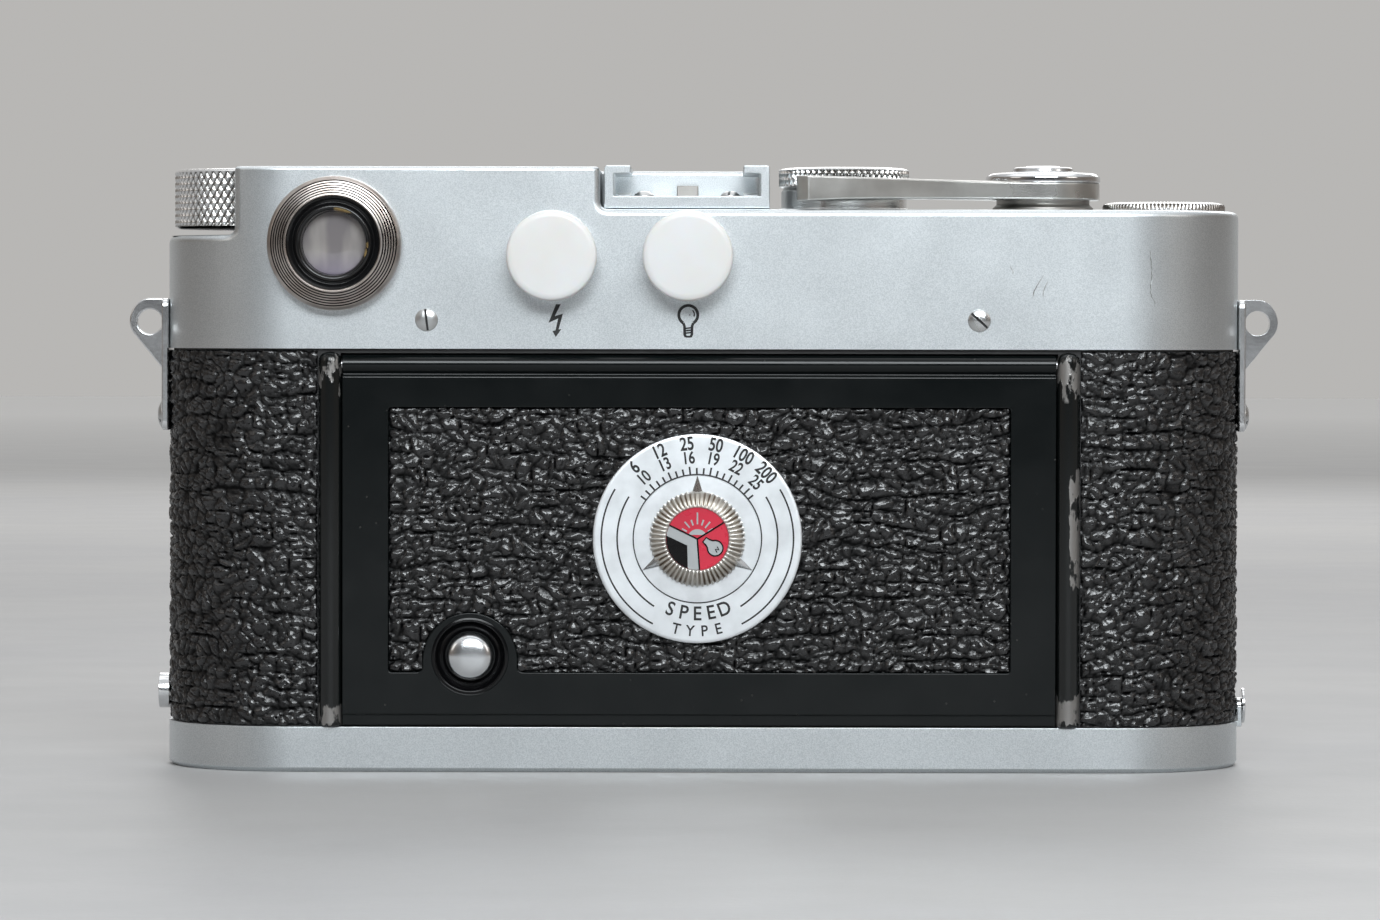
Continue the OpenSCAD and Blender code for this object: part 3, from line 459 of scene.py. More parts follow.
class Shape:
    """Points in mm and faces, put together from several solids."""

    def __init__(self):
        self.points = []
        self.faces = []
        self.relief = []

    def add(self, points, faces, relief=None):
        first = len(self.points)
        self.points.extend(tuple(p) for p in points)
        self.faces.extend(tuple(first + i for i in face) for face in faces)
        self.relief.extend(relief if relief is not None else [1.0] * len(points))
        return self

    def prism(self, outline, place, low, high):
        """Extrudes a 2D outline between low and high; place(u, v, h) gives a point."""
        n = len(outline)
        points = [place(u, v, h) for h in (low, high) for u, v in (p[:2] for p in outline)]
        faces = [tuple(range(n))[::-1], tuple(range(n, 2 * n))]
        faces += [(i, (i + 1) % n, n + (i + 1) % n, n + i) for i in range(n)]
        return self.add(points, faces)

    def block(self, low, high):
        (x0, y0, z0), (x1, y1, z1) = low, high
        return self.prism([(x0, y0), (x1, y0), (x1, y1), (x0, y1)], lambda u, v, h: (u, v, h), z0, z1)

    def lathe(self, profile, centre, axis="z", segments=96, ring=False, steps=4, shape=None):
        """Turns (radius, height, round) points about an axis through centre. ring closes the profile on
        itself. shape(angles, radius, height) returns the radii of one row and their relief."""
        rows = soften(profile, steps, ring)
        angles = np.linspace(0, TAU, segments, endpoint=False)
        points, relief, start = [], [], []
        for radius, height in rows:
            start.append(len(points))
            count = 1 if radius < 1e-6 else segments
            radii, high = (np.full(count, radius), np.ones(count))
            if shape and count > 1:
                radii, high = shape(angles, radius, height)
            turn = angles[:count]
            for a, r, q in zip(turn, radii, high):
                u, v = r * cos(a), r * sin(a)
                local = (u, v, height) if axis == "z" else (u, height, v) if axis == "y" else (height, u, v)
                points.append(local)
                relief.append(q)
        faces = []
        pairs = list(zip(range(len(rows)), range(1, len(rows)))) + ([(len(rows) - 1, 0)] if ring else [])
        for i, j in pairs:
            a, b = start[i], start[j]
            one_a, one_b = rows[i][0] < 1e-6, rows[j][0] < 1e-6
            for k in range(segments):
                m = (k + 1) % segments
                if one_a and one_b:
                    continue
                if one_a:
                    faces.append((a, b + k, b + m))
                elif one_b:
                    faces.append((a + k, b, a + m))
                else:
                    faces.append((a + k, b + k, b + m, a + m))
        offset = np.array(centre, float)
        return self.add([offset + p for p in np.array(points)], faces, relief)


def mesh_of(name, points, faces, relief=None):
    """A mesh from points in mm."""
    mesh = bpy.data.meshes.new(name)
    mesh.from_pydata([(x * MM, y * MM, z * MM) for x, y, z in points], [], faces)
    if relief is not None:
        mesh.attributes.new("relief", "FLOAT", "POINT").data.foreach_set("value", relief)
    return mesh


def linked(name, data):
    """A new object in the scene."""
    holder = bpy.data.objects.new(name, data)
    bpy.context.collection.objects.link(holder)
    return holder


def put(name, shape, material, slot, node=None, body=None, **finish):
    """Makes a piece of a Shape. See dress for the rest."""
    mesh = mesh_of(name, shape.points, shape.faces, shape.relief)
    piece = linked(name, mesh)
    tidy(mesh)
    return dress(piece, material, slot, node, body, **finish)


@contextmanager
def editing(mesh):
    work = bmesh.new()
    work.from_mesh(mesh)
    yield work
    work.to_mesh(mesh)
    work.free()


def tidy(mesh, weld=1e-4, flatten=False):
    """Welds doubled points, dissolves flat stretches if asked, and turns every face outwards."""
    with editing(mesh) as work:
        bmesh.ops.remove_doubles(work, verts=work.verts, dist=weld * MM)
        if flatten:
            bmesh.ops.dissolve_limit(work, angle_limit=radians(0.6), verts=work.verts, edges=work.edges)
        bmesh.ops.recalc_face_normals(work, faces=work.faces)


def dress(piece, material, slot, node=None, body=None, crease=32, bevel=0.0, bevel_steps=2, flats=False):
    """Gives a piece its material and edges; slot is not used. It stands for a CAD node and rides on its body,
    or is an addition to a body that is named instead."""
    mesh = piece.data
    mesh.materials.clear()
    mesh.materials.append(material)
    mesh.polygons.foreach_set("use_smooth", [True] * len(mesh.polygons))
    mesh.set_sharp_from_angle(angle=radians(crease))
    if bevel:
        rounding = piece.modifiers.new("rounding", "BEVEL")
        rounding.width = bevel * MM
        rounding.segments = bevel_steps
        rounding.limit_method = "ANGLE"
        rounding.angle_limit = radians(crease)
        rounding.miter_outer = "MITER_ARC"
    if bevel or flats:
        even = piece.modifiers.new("even_normals", "WEIGHTED_NORMAL")
        even.keep_sharp = True
    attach(piece, body or NODE_BODY[node])
    if node:
        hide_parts(node)
    return piece


def refine(node, material, bevel=0.12, steps=2, crease=32):
    """A finished piece in place of a CAD node: its own shape with clean faces and rounded edges."""
    mesh = frame["nodes"][node].data.copy()
    mesh.name = node + "_finished"
    tidy(mesh, 1e-3, flatten=True)
    piece = linked(node + "_finished", mesh)
    return dress(piece, material, NODE_SLOT[node], node, crease=crease, bevel=bevel, bevel_steps=steps)


def bake_modifiers(piece):
    evaluated = piece.evaluated_get(bpy.context.evaluated_depsgraph_get())
    mesh = bpy.data.meshes.new_from_object(evaluated)
    piece.modifiers.clear()
    piece.data = mesh
    return piece


def carve(target, cutter):
    """Cuts an object with a Shape, or with another object that is removed afterwards."""
    if isinstance(cutter, Shape):
        cutter = loose("cutter", cutter)
    step = target.modifiers.new("carve", "BOOLEAN")
    step.operation = "DIFFERENCE"
    step.solver = "EXACT"
    step.object = cutter
    bake_modifiers(target)
    bpy.data.objects.remove(cutter)
    return target


def loose(name, shape):
    """An object that is not yet a piece, such as a cutter."""
    mesh = mesh_of(name, shape.points, shape.faces)
    tidy(mesh)
    return linked(name, mesh)


def ribbon(shape, points, width, place, thick=0.05, closed=False):
    """A flat line of the given width along 2D points; place(u, v, h) gives its points."""
    line = np.array(points, float)
    after, before = np.roll(line, -1, 0), np.roll(line, 1, 0)
    if not closed:
        after[-1], before[0] = line[-1], line[0]
    way = after - before
    way /= np.linalg.norm(way, axis=1)[:, None]
    side = np.stack([-way[:, 1], way[:, 0]], 1) * width / 2
    rows = []
    for h in (0, thick):
        for edge in (line - side, line + side):
            rows.append([place(u, v, h) for u, v in edge])
    n = len(line)
    points3 = [p for row in rows for p in row]
    faces = []
    for i in range(n if closed else n - 1):
        j = (i + 1) % n
        for a, b in ((0, 1), (1, 3), (3, 2), (2, 0)):
            faces.append((a * n + i, a * n + j, b * n + j, b * n + i))
    if not closed:
        faces += [(0, n, 3 * n, 2 * n), (n - 1, 2 * n - 1, 4 * n - 1, 3 * n - 1)]
    return shape.add(points3, faces)


def even(angles, radius, relief=1.0):
    """An unchanged row of a lathe."""
    return np.full(angles.shape, radius), np.full(angles.shape, relief)


def polar(radius, angle):
    return radius * cos(angle), radius * sin(angle)


def arc(radius, start, end, steps=48):
    turn = np.radians(np.linspace(start, end, steps))
    return np.stack([radius * np.cos(turn), radius * np.sin(turn)], 1)


def write(shape, text, height, place, condense=0.82, thick=0.05, weight=0.022):
    """Adds raised lettering, centred on place(0, 0, 0)."""
    curve = bpy.data.curves.new("lettering", "FONT")
    curve.body = text
    curve.align_x = "CENTER"
    curve.align_y = "CENTER"
    curve.size = height * 1.38
    curve.resolution_u = 5
    curve.offset = weight * curve.size
    curve.extrude = thick / 2
    holder = linked("lettering", curve)
    mesh = bpy.data.meshes.new_from_object(holder.evaluated_get(bpy.context.evaluated_depsgraph_get()))
    shape.add([place(v.co.x * condense, v.co.y, v.co.z + thick / 2) for v in mesh.vertices],
              [tuple(p.vertices) for p in mesh.polygons])
    bpy.data.objects.remove(holder)
    bpy.data.meshes.remove(mesh)
    return shape


def rear_face(x, y, z, turn=0.0):
    """Places flat work on a face that looks to the rear: u to the right, v up, h towards the viewer."""
    c, s = cos(turn), sin(turn)
    return lambda u, v, h: (x + u * c - v * s, y - h, z + u * s + v * c)


def top_face(x, y, z, turn=0.0, radius=0.0):
    """Places flat work on a face that looks up, radius mm out from x, y in the direction of turn."""
    c, s = cos(turn), sin(turn)
    return lambda u, v, h: (x + u * c - (v + radius) * s, y + u * s + (v + radius) * c, z + h)


def around_lens(radius, y, turn):
    """Places flat work round a ring of the lens, read from the front."""
    def place(u, v, h):
        a = turn - u / radius
        return (LENS[0] + (radius + h) * sin(a), y - v, LENS[2] + (radius + h) * cos(a))
    return place


def upright(u, v, h):
    return (u, v, h)


def along_x(u, v, h):
    return (h, u, v)


# ---------------------------------------------------------------- body covers

def track(inset=0.0, steps=56):
    """The body's outline in plan: straight front and rear, round ends."""
    r = END_R - inset
    turn = np.radians(np.linspace(-90, 90, steps + 1))
    right = [(END_X + r * cos(a), r * sin(a)) for a in turn]
    return right + [(-x, -y) for x, y in right]


# The raised part: its left end, its right end at the rear and at the front, and where the two meet
HOUSING_LEFT, HOUSING_RIGHT, HOUSING_FRONT_RIGHT, HOUSING_FRONT_Y = -59.45, -13.1, 7.5, 6.0
POCKET_R = 13.6                             # round pocket of the rewind knob
COVER_WALL = 1.1
FAR = 120.0                                 # beyond the camera, for cutters
WINDOWS = {"finder_window": WINDOW_GLASS, "illumination_window": FROSTED, "rangefinder_window": WINDOW_GLASS}


def cover_block(inset, bottom):
    """The top cover's outer solid, drawn in by inset."""
    block = loose("cover", Shape().prism(track(inset), upright, bottom, HOUSING_Z - inset))
    steps = (
        ((-FAR, -FAR, LEDGE_Z - inset), (HOUSING_LEFT + inset, FAR, FAR)),
        ((HOUSING_RIGHT - inset, -FAR, DECK_Z - inset), (FAR, HOUSING_FRONT_Y + inset, FAR)),
        ((HOUSING_FRONT_RIGHT - inset, -FAR, DECK_Z - inset), (FAR, FAR, FAR)),
    )
    for low, high in steps:
        carve(block, Shape().block(low, high))
    profile = [(0, LEDGE_Z - inset), (POCKET_R + inset, LEDGE_Z - inset), (POCKET_R + inset, FAR), (0, FAR)]
    return carve(block, Shape().lathe(profile, (KNOB[0], 0, 0), segments=128))


def round_edges(piece, width, steps, chosen):
    """Rounds the sharp edges for which chosen(low corner, high corner) is true."""
    with editing(piece.data) as work:
        bmesh.ops.remove_doubles(work, verts=work.verts, dist=2e-3 * MM)
        edges = []
        for edge in work.edges:
            if len(edge.link_faces) == 2 and edge.calc_face_angle(0) > radians(30):
                ends = np.array([v.co for v in edge.verts]) / MM
                if chosen(ends.min(0), ends.max(0)):
                    edges.append(edge)
        bmesh.ops.bevel(work, geom=edges, offset=width * MM, segments=steps, profile=0.5, affect="EDGES",
                        clamp_overlap=False, miter_outer="ARC")


def make_top_cover():
    cover = cover_block(0.0, COVER_Z)
    round_edges(cover, 0.5, 4, lambda low, high: low[2] > HOUSING_Z - 0.1)
    round_edges(cover, 0.9, 4, lambda low, high: low[2] > COVER_Z + 1 and high[2] < HOUSING_Z - 0.3)
    carve(cover, cover_block(COVER_WALL, COVER_Z - 2))
    holes = Shape()
    holes.lathe([(0, REAR - 2), (6.0, REAR - 2), (6.0, REAR + 2.5), (0, REAR + 2.5)],
                (EYE[0], 0, EYE[2]), "y")
    for node in WINDOWS:
        low, high = span(node)
        holes.block((low[0] + 0.3, END_R - 3, low[2] + 0.3), (high[0] - 0.3, END_R + 3, high[2] - 0.3))
    carve(cover, holes)
    cover.name = "top_cover_finished"
    dress(cover, COVER_CHROME, "satin_chrome", "top_cover", crease=35, flats=True)
    for node in WINDOWS:
        low, high = span(node)
        outer, inner = (rounded_box(low[0] - grow, high[0] + grow, low[2] - grow, high[2] + grow, corner, 5)
                        for grow, corner in ((0.7, 0.8), (-0.3, 0.5)))
        n = len(outer)
        rows = [(outer, END_R - 0.4), (outer, END_R + 0.55), (outer * 0.985 + inner * 0.015, END_R + 0.7),
                (inner, END_R + 0.6), (inner, END_R - 0.9)]
        points = [(x, y, z) for row, y in rows for x, z in row]
        faces = [(a * n + i, a * n + (i + 1) % n, b * n + (i + 1) % n, b * n + i)
                 for a, b in ((0, 1), (1, 2), (2, 3), (3, 4), (4, 0)) for i in range(n)]
        put(node + "_frame", Shape().add(points, faces), POLISHED, "satin_chrome", body="camera")
    for node, glass in WINDOWS.items():
        refine(node, glass, 0.1)


# ---------------------------------------------------------------- leather

def scatter(i, j, salt):
    """Repeatable random numbers from 0 to 1 for whole-number cells."""
    n = (i * 374761393 + j * 668265263 + salt * 974711) & 0xFFFFFFFF
    n = ((n ^ (n >> 13)) * 1274126177) & 0xFFFFFFFF
    return ((n ^ (n >> 16)) & 0xFFFF) / 65535.0


def drift(u, v, salt):
    """Smooth random hills from 0 to 1, one unit apart."""
    i, j = np.floor(u).astype(np.int64), np.floor(v).astype(np.int64)
    fu, fv = u - i, v - j
    fu, fv = fu * fu * (3 - 2 * fu), fv * fv * (3 - 2 * fv)
    low = scatter(i, j, salt) * (1 - fu) + scatter(i + 1, j, salt) * fu
    high = scatter(i, j + 1, salt) * (1 - fu) + scatter(i + 1, j + 1, salt) * fu
    return low * (1 - fv) + high * fv


def crevices(u, v, salt):
    """How far each point is from a crease between scattered cells: 0 in the crease."""
    i0, j0 = np.floor(u).astype(np.int64), np.floor(v).astype(np.int64)
    first, second = np.full(u.shape, 9.0), np.full(u.shape, 9.0)
    for di in (-1, 0, 1):
        for dj in (-1, 0, 1):
            i, j = i0 + di, j0 + dj
            d = np.hypot(i + scatter(i, j, salt) - u, j + scatter(i, j, salt + 7) - v)
            second = np.minimum(second, np.maximum(first, d))
            first = np.minimum(first, d)
    return second - first


def pillow(edge, steepness):
    """Rounded top that falls into a sharp crease, from the distance to the crease."""
    return 1 - (1 - np.clip(edge * steepness, 0, 1)) ** 2


def pebbles(u, v, salt):
    """Height of leather from 0 in its creases to 1, at u across and v up, in mm."""
    u1 = u + 1.6 * (drift(u / 2.8, v / 1.7, salt) - 0.5) + 0.4 * (drift(u / 0.9, v / 0.8, salt + 1) - 0.5)
    v1 = v + 1.6 * (drift(u / 3.8, v / 2.1, salt + 2) - 0.5) + 0.4 * (drift(u / 1.1, v / 0.7, salt + 3) - 0.5)
    big = pillow(crevices(u1 / 1.75, v1 / 1.5, salt + 10), 2.2)
    small = pillow(crevices(u1 / 0.95, v1 / 0.85, salt + 20), 2.2)
    bend = v + 2.0 * drift(u / 6.5, v / 4.5, salt + 4) + 0.9 * drift(u / 2.2, v / 1.8, salt + 5)
    wave = np.abs((bend / 2.3) % 1 - 0.5) * 2
    crease = np.clip(wave * 4.0, 0, 1) ** 0.7
    broken = np.clip(drift(u / 4.0, v / 1.5, salt + 6) * 3.0 - 0.7, 0, 1)
    crease = 1 - (1 - crease) * broken
    swell = 0.55 + 0.45 * drift(u / 1.5, v / 1.0, salt + 8)
    return np.clip((0.68 * big * swell + 0.26 * small * (0.5 + 0.5 * swell) + 0.1)
                   * (0.1 + 0.9 * crease), 0, 1)


LEATHER_RELIEF, LEATHER_MEAN = 0.72, 0.72     # height of a full pebble in mm, tone at the mean surface


def hide(node, place, width, height, salt, keep, spacing=0.24):
    """The leather of a node. place(u, v, h) takes arrays and gives points h mm above the leather's mean
    surface, and keep(centres) says which of its faces stay."""
    columns, rows = int(round(width / spacing)) + 1, int(round(height / spacing)) + 1
    u, v = np.meshgrid(np.linspace(0, width, columns), np.linspace(0, height, rows))
    tone = pebbles(u, v, salt)
    rim = np.minimum.reduce([u, width - u, v, height - v])
    h = LEATHER_RELIEF * (tone - LEATHER_MEAN) - 0.16 * np.exp(-rim / 0.22)
    u, v, h, tone = (np.pad(values, 1, mode="edge") for values in (u, v, h, tone))
    h[0], h[-1], h[:, 0], h[:, -1] = [-LEATHER_DEPTH] * 4
    points = np.stack(place(u, v, h), -1).reshape(-1, 3)
    index = np.arange(points.shape[0]).reshape(rows + 2, columns + 2)
    quads = np.stack([index[:-1, :-1], index[:-1, 1:], index[1:, 1:], index[1:, :-1]], -1).reshape(-1, 4)
    quads = quads[keep(points[quads].mean(1))]
    name = node + "_hide"
    mesh = bpy.data.meshes.new(name)
    mesh.from_pydata((points * MM).tolist(), [], quads.tolist())
    mesh.attributes.new("relief", "FLOAT", "POINT").data.foreach_set("value", tone.ravel())
    piece = linked(name, mesh)
    with editing(mesh) as work:
        bmesh.ops.delete(work, geom=[v for v in work.verts if not v.link_faces], context="VERTS")
        bmesh.ops.recalc_face_normals(work, faces=work.faces)
    dress(piece, LEATHER, "leather", node, crease=70)


LEATHER_DEPTH = 0.75                        # how far the rim of the leather goes in, to meet what it lies on
BEAD_X = (-47.2, 46.2)
BEAD_R = 1.5
LEATHER_LOW, LEATHER_TOP = 5.85, 53.35
SEAM_X = LENS[0]
MOUNT_CLEAR = 22.6                          # the leather stops this far from the lens axis


def body_leather(side, name):
    """Leather from a door bead round one end to the seam under the lens."""
    start = abs(BEAD_X[0 if side < 0 else 1]) + BEAD_R + 0.1
    seam = side * SEAM_X
    r0 = END_R - 0.12
    rear, bow = END_X - start, pi * r0
    width = rear + bow + END_X - seam - 0.06

    def place(u, v, h):
        r = r0 + h
        a = np.clip((u - rear) / r0, 0, pi)
        x = np.where(u < rear, start + u,
                     np.where(u > rear + bow, END_X - (u - rear - bow), END_X + r * np.sin(a)))
        y = -r * np.cos(a)
        return side * x, y, LEATHER_LOW + v

    def keep(centres):
        away = np.hypot(centres[:, 0] - LENS[0], centres[:, 2] - LENS[2])
        return (away > MOUNT_CLEAR) | (centres[:, 1] < 0)

    hide("leather_" + name, place, width, LEATHER_TOP - LEATHER_LOW, 40 + side, keep)


DOOR_PANEL = (-39.8, 38.9, 12.65, 46.2)      # left, right, lowest and highest edge of the leather in the door
PANEL_Y = -16.83
BOSS_R, BOSS_Z = 6.0, BUTTON[2] - 0.5


def make_door_leather():
    x0, x1, z0, z1 = DOOR_PANEL
    gap = 0.08

    def place(u, v, h):
        return x0 + gap + u, PANEL_Y - h, z0 + gap + v

    def keep(centres):
        x, z = centres[:, 0] - BUTTON[0], centres[:, 2] - BOSS_Z
        return (np.hypot(x, z) > BOSS_R + 0.1) & ((np.abs(x) > BOSS_R + 0.1) | (z > 0))

    hide("door_leather", place, x1 - x0 - 2 * gap, z1 - z0 - 2 * gap, 71, keep, 0.2)


# ---------------------------------------------------------------- rear pieces

def make_beads():
    for (_, side), x in zip(SIDES, BEAD_X):
        profile = [(0, 5.75), (BEAD_R, 5.75, 0.5), (BEAD_R, 52.9, 1.3), (0, 53.25)]
        bead = Shape().lathe(profile, (x, -16.15, 0), segments=40, steps=6)
        put("bead_" + side, bead, WORN_PAINT, "black_paint", "door_beads")


HINGE_Y, HINGE_Z, HINGE_R, PIN_R = -15.9, 51.6, 1.25, 0.76


def boss_outline(radius, flare):
    """Outline of the panel with the button's boss left standing in its corner."""
    x0, x1, z0, z1 = DOOR_PANEL
    bx, bz = BUTTON[0], BOSS_Z
    over = [(bx + radius * cos(a), bz + radius * sin(a)) for a in np.radians(np.linspace(0, 180, 40))]
    points = [(x0, z0, 0.5), (x0, z1, 0.5), (x1, z1, 0.5), (x1, z0, 0.5), (bx + radius, z0, flare)]
    return soften(points + over + [(bx - radius, z0, flare)], 6, True)


def make_door():
    x0, x1 = DOOR_LOW[0] + 0.05, DOOR_HIGH[0] - 0.05
    hinge = np.array([HINGE_Y, HINGE_Z])
    roll = [tuple(p) for p in hinge + arc(HINGE_R, 238, -50, 40)]
    profile = [(-15.4, 5.95), (-16.8, 5.95), (-16.8, 7.25), (-17.05, 7.35), (-17.05, 50.05), (-16.85, 50.25),
               (-16.5, 50.3)]
    door = loose("door", Shape().prism(profile + roll + [(-15.4, 50.4)], along_x, x0, x1))
    recess = Shape().prism(boss_outline(BOSS_R, 0.9), lambda u, v, h: (u, h, v), -20, -16.4)
    carve(door, recess)
    carve(door, Shape().prism(hinge + arc(PIN_R, 0, 345, 24), along_x, x0 - 2, x1 + 2))
    seat = Shape().lathe([(0, -20), (4.8, -20), (4.8, -16.0), (0, -16.0)], (BUTTON[0], 0, BUTTON[2]), "y", 72)
    carve(door, seat)
    round_edges(door, 0.14, 3, lambda low, high: True)
    door.name = "back_door_finished"
    dress(door, PAINT, "black_paint", "back_door", crease=35, flats=True)
    profile = [(4.85, -17.07), (4.5, -17.16, 0.12), (4.33, -17.0, 0.15), (4.0, -16.45, 0.4),
               (3.4, -16.2, 0.3), (3.15, -16.1), (3.15, -16.0), (4.85, -16.0)]
    dish = Shape().lathe(profile, (BUTTON[0], 0, BUTTON[2]), "y", 96, True)
    put("button_dish", dish, GLOSS_BLACK, "black_paint", body="door", crease=40)
    profile = [(0, -18.62), (1.6, -18.5, 0.9), (2.6, -18.1, 0.5), (2.95, -17.4, 0.2),
               (2.95, -16.8, 0.05), (0, -16.75)]
    dome = Shape().lathe(profile, (BUTTON[0], 0, BUTTON[2]), "y", 72, steps=8)
    put("door_button_dome", dome, BUTTON_STEEL, "nickel", "door_button", crease=50)


FIRST_SPEED = 131.4                         # where the scale's first film speed stands, in degrees


def make_disc():
    """Film-speed disc with its scale, and the dial that turns on it."""
    x, _, z = DISC
    plate = Shape().lathe([(0, -16.4), (13.25, -16.4, 0.1), (13.25, -17.35, 0.16), (12.9, -17.42, 0.1),
                           (8.2, -17.42), (8.05, -17.3), (6.6, -17.33), (0, -17.33)], (x, 0, z), "y", 160)
    put("speed_plate", plate, SCALE_METAL, "satin_chrome", "film_speed_disc", crease=20)
    marks = Shape()
    face = rear_face(x, -17.4, z)

    def around(radius, a, quarter):
        return rear_face(x + radius * cos(a), -17.41, z + radius * sin(a), a + quarter * pi / 2)

    ribbon(marks, arc(8.12, 0, 357, 120), 0.15, face, closed=True)
    for radius, start, end in ((12.15, 149, 242.5), (10.15, 148.5, 237.5)):
        ribbon(marks, arc(radius, start, end), 0.21, face)
        ribbon(marks, arc(radius, 180 - end, 180 - start), 0.21, face)
    for step in range(19):
        a = radians(FIRST_SPEED - (step - 2) * 5.83)
        reach = 9.15 if step % 3 == 2 else 8.95
        ribbon(marks, [polar(r, a) for r in (8.2, reach)], 0.23, face)
    for step, (low, high) in enumerate((("6", "10"), ("12", "13"), ("25", "16"), ("50", "19"), ("100", "22"),
                                        ("200", "25"))):
        a = radians(FIRST_SPEED - step * 17.5)
        for text, radius, size in ((low, 12.0, 1.72), (high, 10.2, 1.55)):
            write(marks, text, size, around(radius, a, -1), 0.76)
    for text, radius, size, pitch in (("SPEED", 9.55, 1.8, 10.5), ("TYPE", 11.75, 1.4, 8.8)):
        for i, letter in enumerate(text):
            a = radians(270 + (i - (len(text) - 1) / 2) * pitch)
            write(marks, letter, size, around(radius, a, 1), 0.92, weight=0.014)
    put("speed_marks", marks, ENGRAVING_AND_SLOT_SHADE, "black_paint", body="door")

    def flutes(angles, radius, height):
        if radius < 4.25:
            return even(angles, radius)
        wave = 0.5 + 0.5 * np.cos(angles * 56)
        return radius + 0.16 * (wave - 0.5) * (radius > 5.6), wave

    ring = Shape().lathe([(3.95, -17.45), (3.95, -18.4), (4.05, -18.5), (4.4, -18.54), (5.7, -18.1),
                          (6.0, -17.8), (6.0, -17.45)], (x, 0, z), "y", 448, True, shape=flutes)
    for k, (px, py, pz) in enumerate(ring.points):
        away = hypot(px - x, pz - z)
        if 4.3 < away and py < -17.5:
            ring.points[k] = (px, py + 0.28 * (1 - ring.relief[k]), pz)
    put("dial_ring", ring, NICKEL, "nickel", "film_speed_ring", crease=50)
    spikes = Shape()
    for a in (90, 210, 330):
        spot = rear_face(x, -17.34, z, radians(a - 90))
        points = [spot(*p) for p in ((-0.74, 5.6, 0), (0.74, 5.6, 0), (0, 8.05, 0), (0, 5.6, 0.7),
                                     (0, 7.95, 0.08))]
        spikes.add(points, [(0, 1, 3), (1, 2, 4, 3), (2, 0, 3, 4), (0, 2, 1)])
    put("dial_spikes", spikes, POLISHED, "nickel", body="film_dial", crease=20)
    make_type_disc(x, z)


TYPE_Y = -18.34                             # face of the film-type disc


def make_type_disc(x, z):
    face = rear_face(x, TYPE_Y, z)
    back = Shape().lathe([(0, -17.6), (3.92, -17.6), (3.92, TYPE_Y), (0, TYPE_Y)], (x, 0, z), "y", 96)
    put("type_disc", back, RED, "red_enamel", "film_type_disc")
    r = 3.9
    sector = [(0, 0), *arc(r, 154, 274, 40)]
    grey = Shape().prism(sector, face, 0, 0.03)
    spot = rear_face(x, -18.37, z)
    black = Shape().prism([(-1.28, -0.82), *arc(r, 174, 252, 30)], spot, 0, 0.03)
    lines = Shape()
    for a in (154, 32, 274):
        ribbon(lines, [(0, 0), polar(r, radians(a))], 0.2, spot)
    dome = [(1.15 * cos(a), 0.28 + 0.95 * sin(a)) for a in np.linspace(0.25, pi - 0.25, 20)]
    sun = Shape().prism(dome, face, 0, 0.035)
    for a, inner, outer in ((28, 1.5, 2.2), (50, 1.5, 2.5), (70, 1.55, 2.3), (90, 1.6, 3.1), (110, 1.55, 2.3),
                            (130, 1.5, 2.5), (152, 1.5, 2.2)):
        c, s = cos(radians(a)), sin(radians(a))
        ribbon(sun, [(inner * c, 0.25 + inner * s), (outer * c, 0.25 + outer * s)], 0.2, face)
    turn = radians(-38)
    bulb_face = rear_face(x + 2.25, TYPE_Y, z - 1.15, turn + pi / 2)
    bulb = Shape().prism(bulb_outline(0.98), bulb_face, 0, 0.035)
    upper = rear_face(x + 2.25, -18.375, z - 1.15, turn + pi / 2)
    ribbon(lines, bulb_outline(0.98), 0.17, upper, closed=True)
    ribbon(lines, [(-0.3, -0.5), (-0.1, -0.1), (0.12, -0.5), (0.3, -0.1)], 0.15, upper)
    for name, shape in (("grey", grey), ("black", black), ("lines", lines), ("sun", sun), ("bulb", bulb)):
        dark = name in ("black", "lines")
        material, slot = (GLOSS_BLACK, "black_paint") if dark else (GREY, "aluminium_satin")
        put("type_" + name, shape, material, slot, body="film_dial")


def bulb_outline(r):
    """Closed outline of a lamp bulb whose glass has radius r, cap upwards."""
    glass = [tuple(p) for p in arc(r, 125, 415, 40)]
    return glass + [(0.42 * r, 1.25 * r), (0.36 * r, 1.75 * r), (-0.36 * r, 1.75 * r), (-0.42 * r, 1.25 * r)]


SOCKET_X, SOCKET_Z = (-19.1, -1.95), 65.35
SIGN_Z, COVER_SCREW_Z = 57.2, 57.25


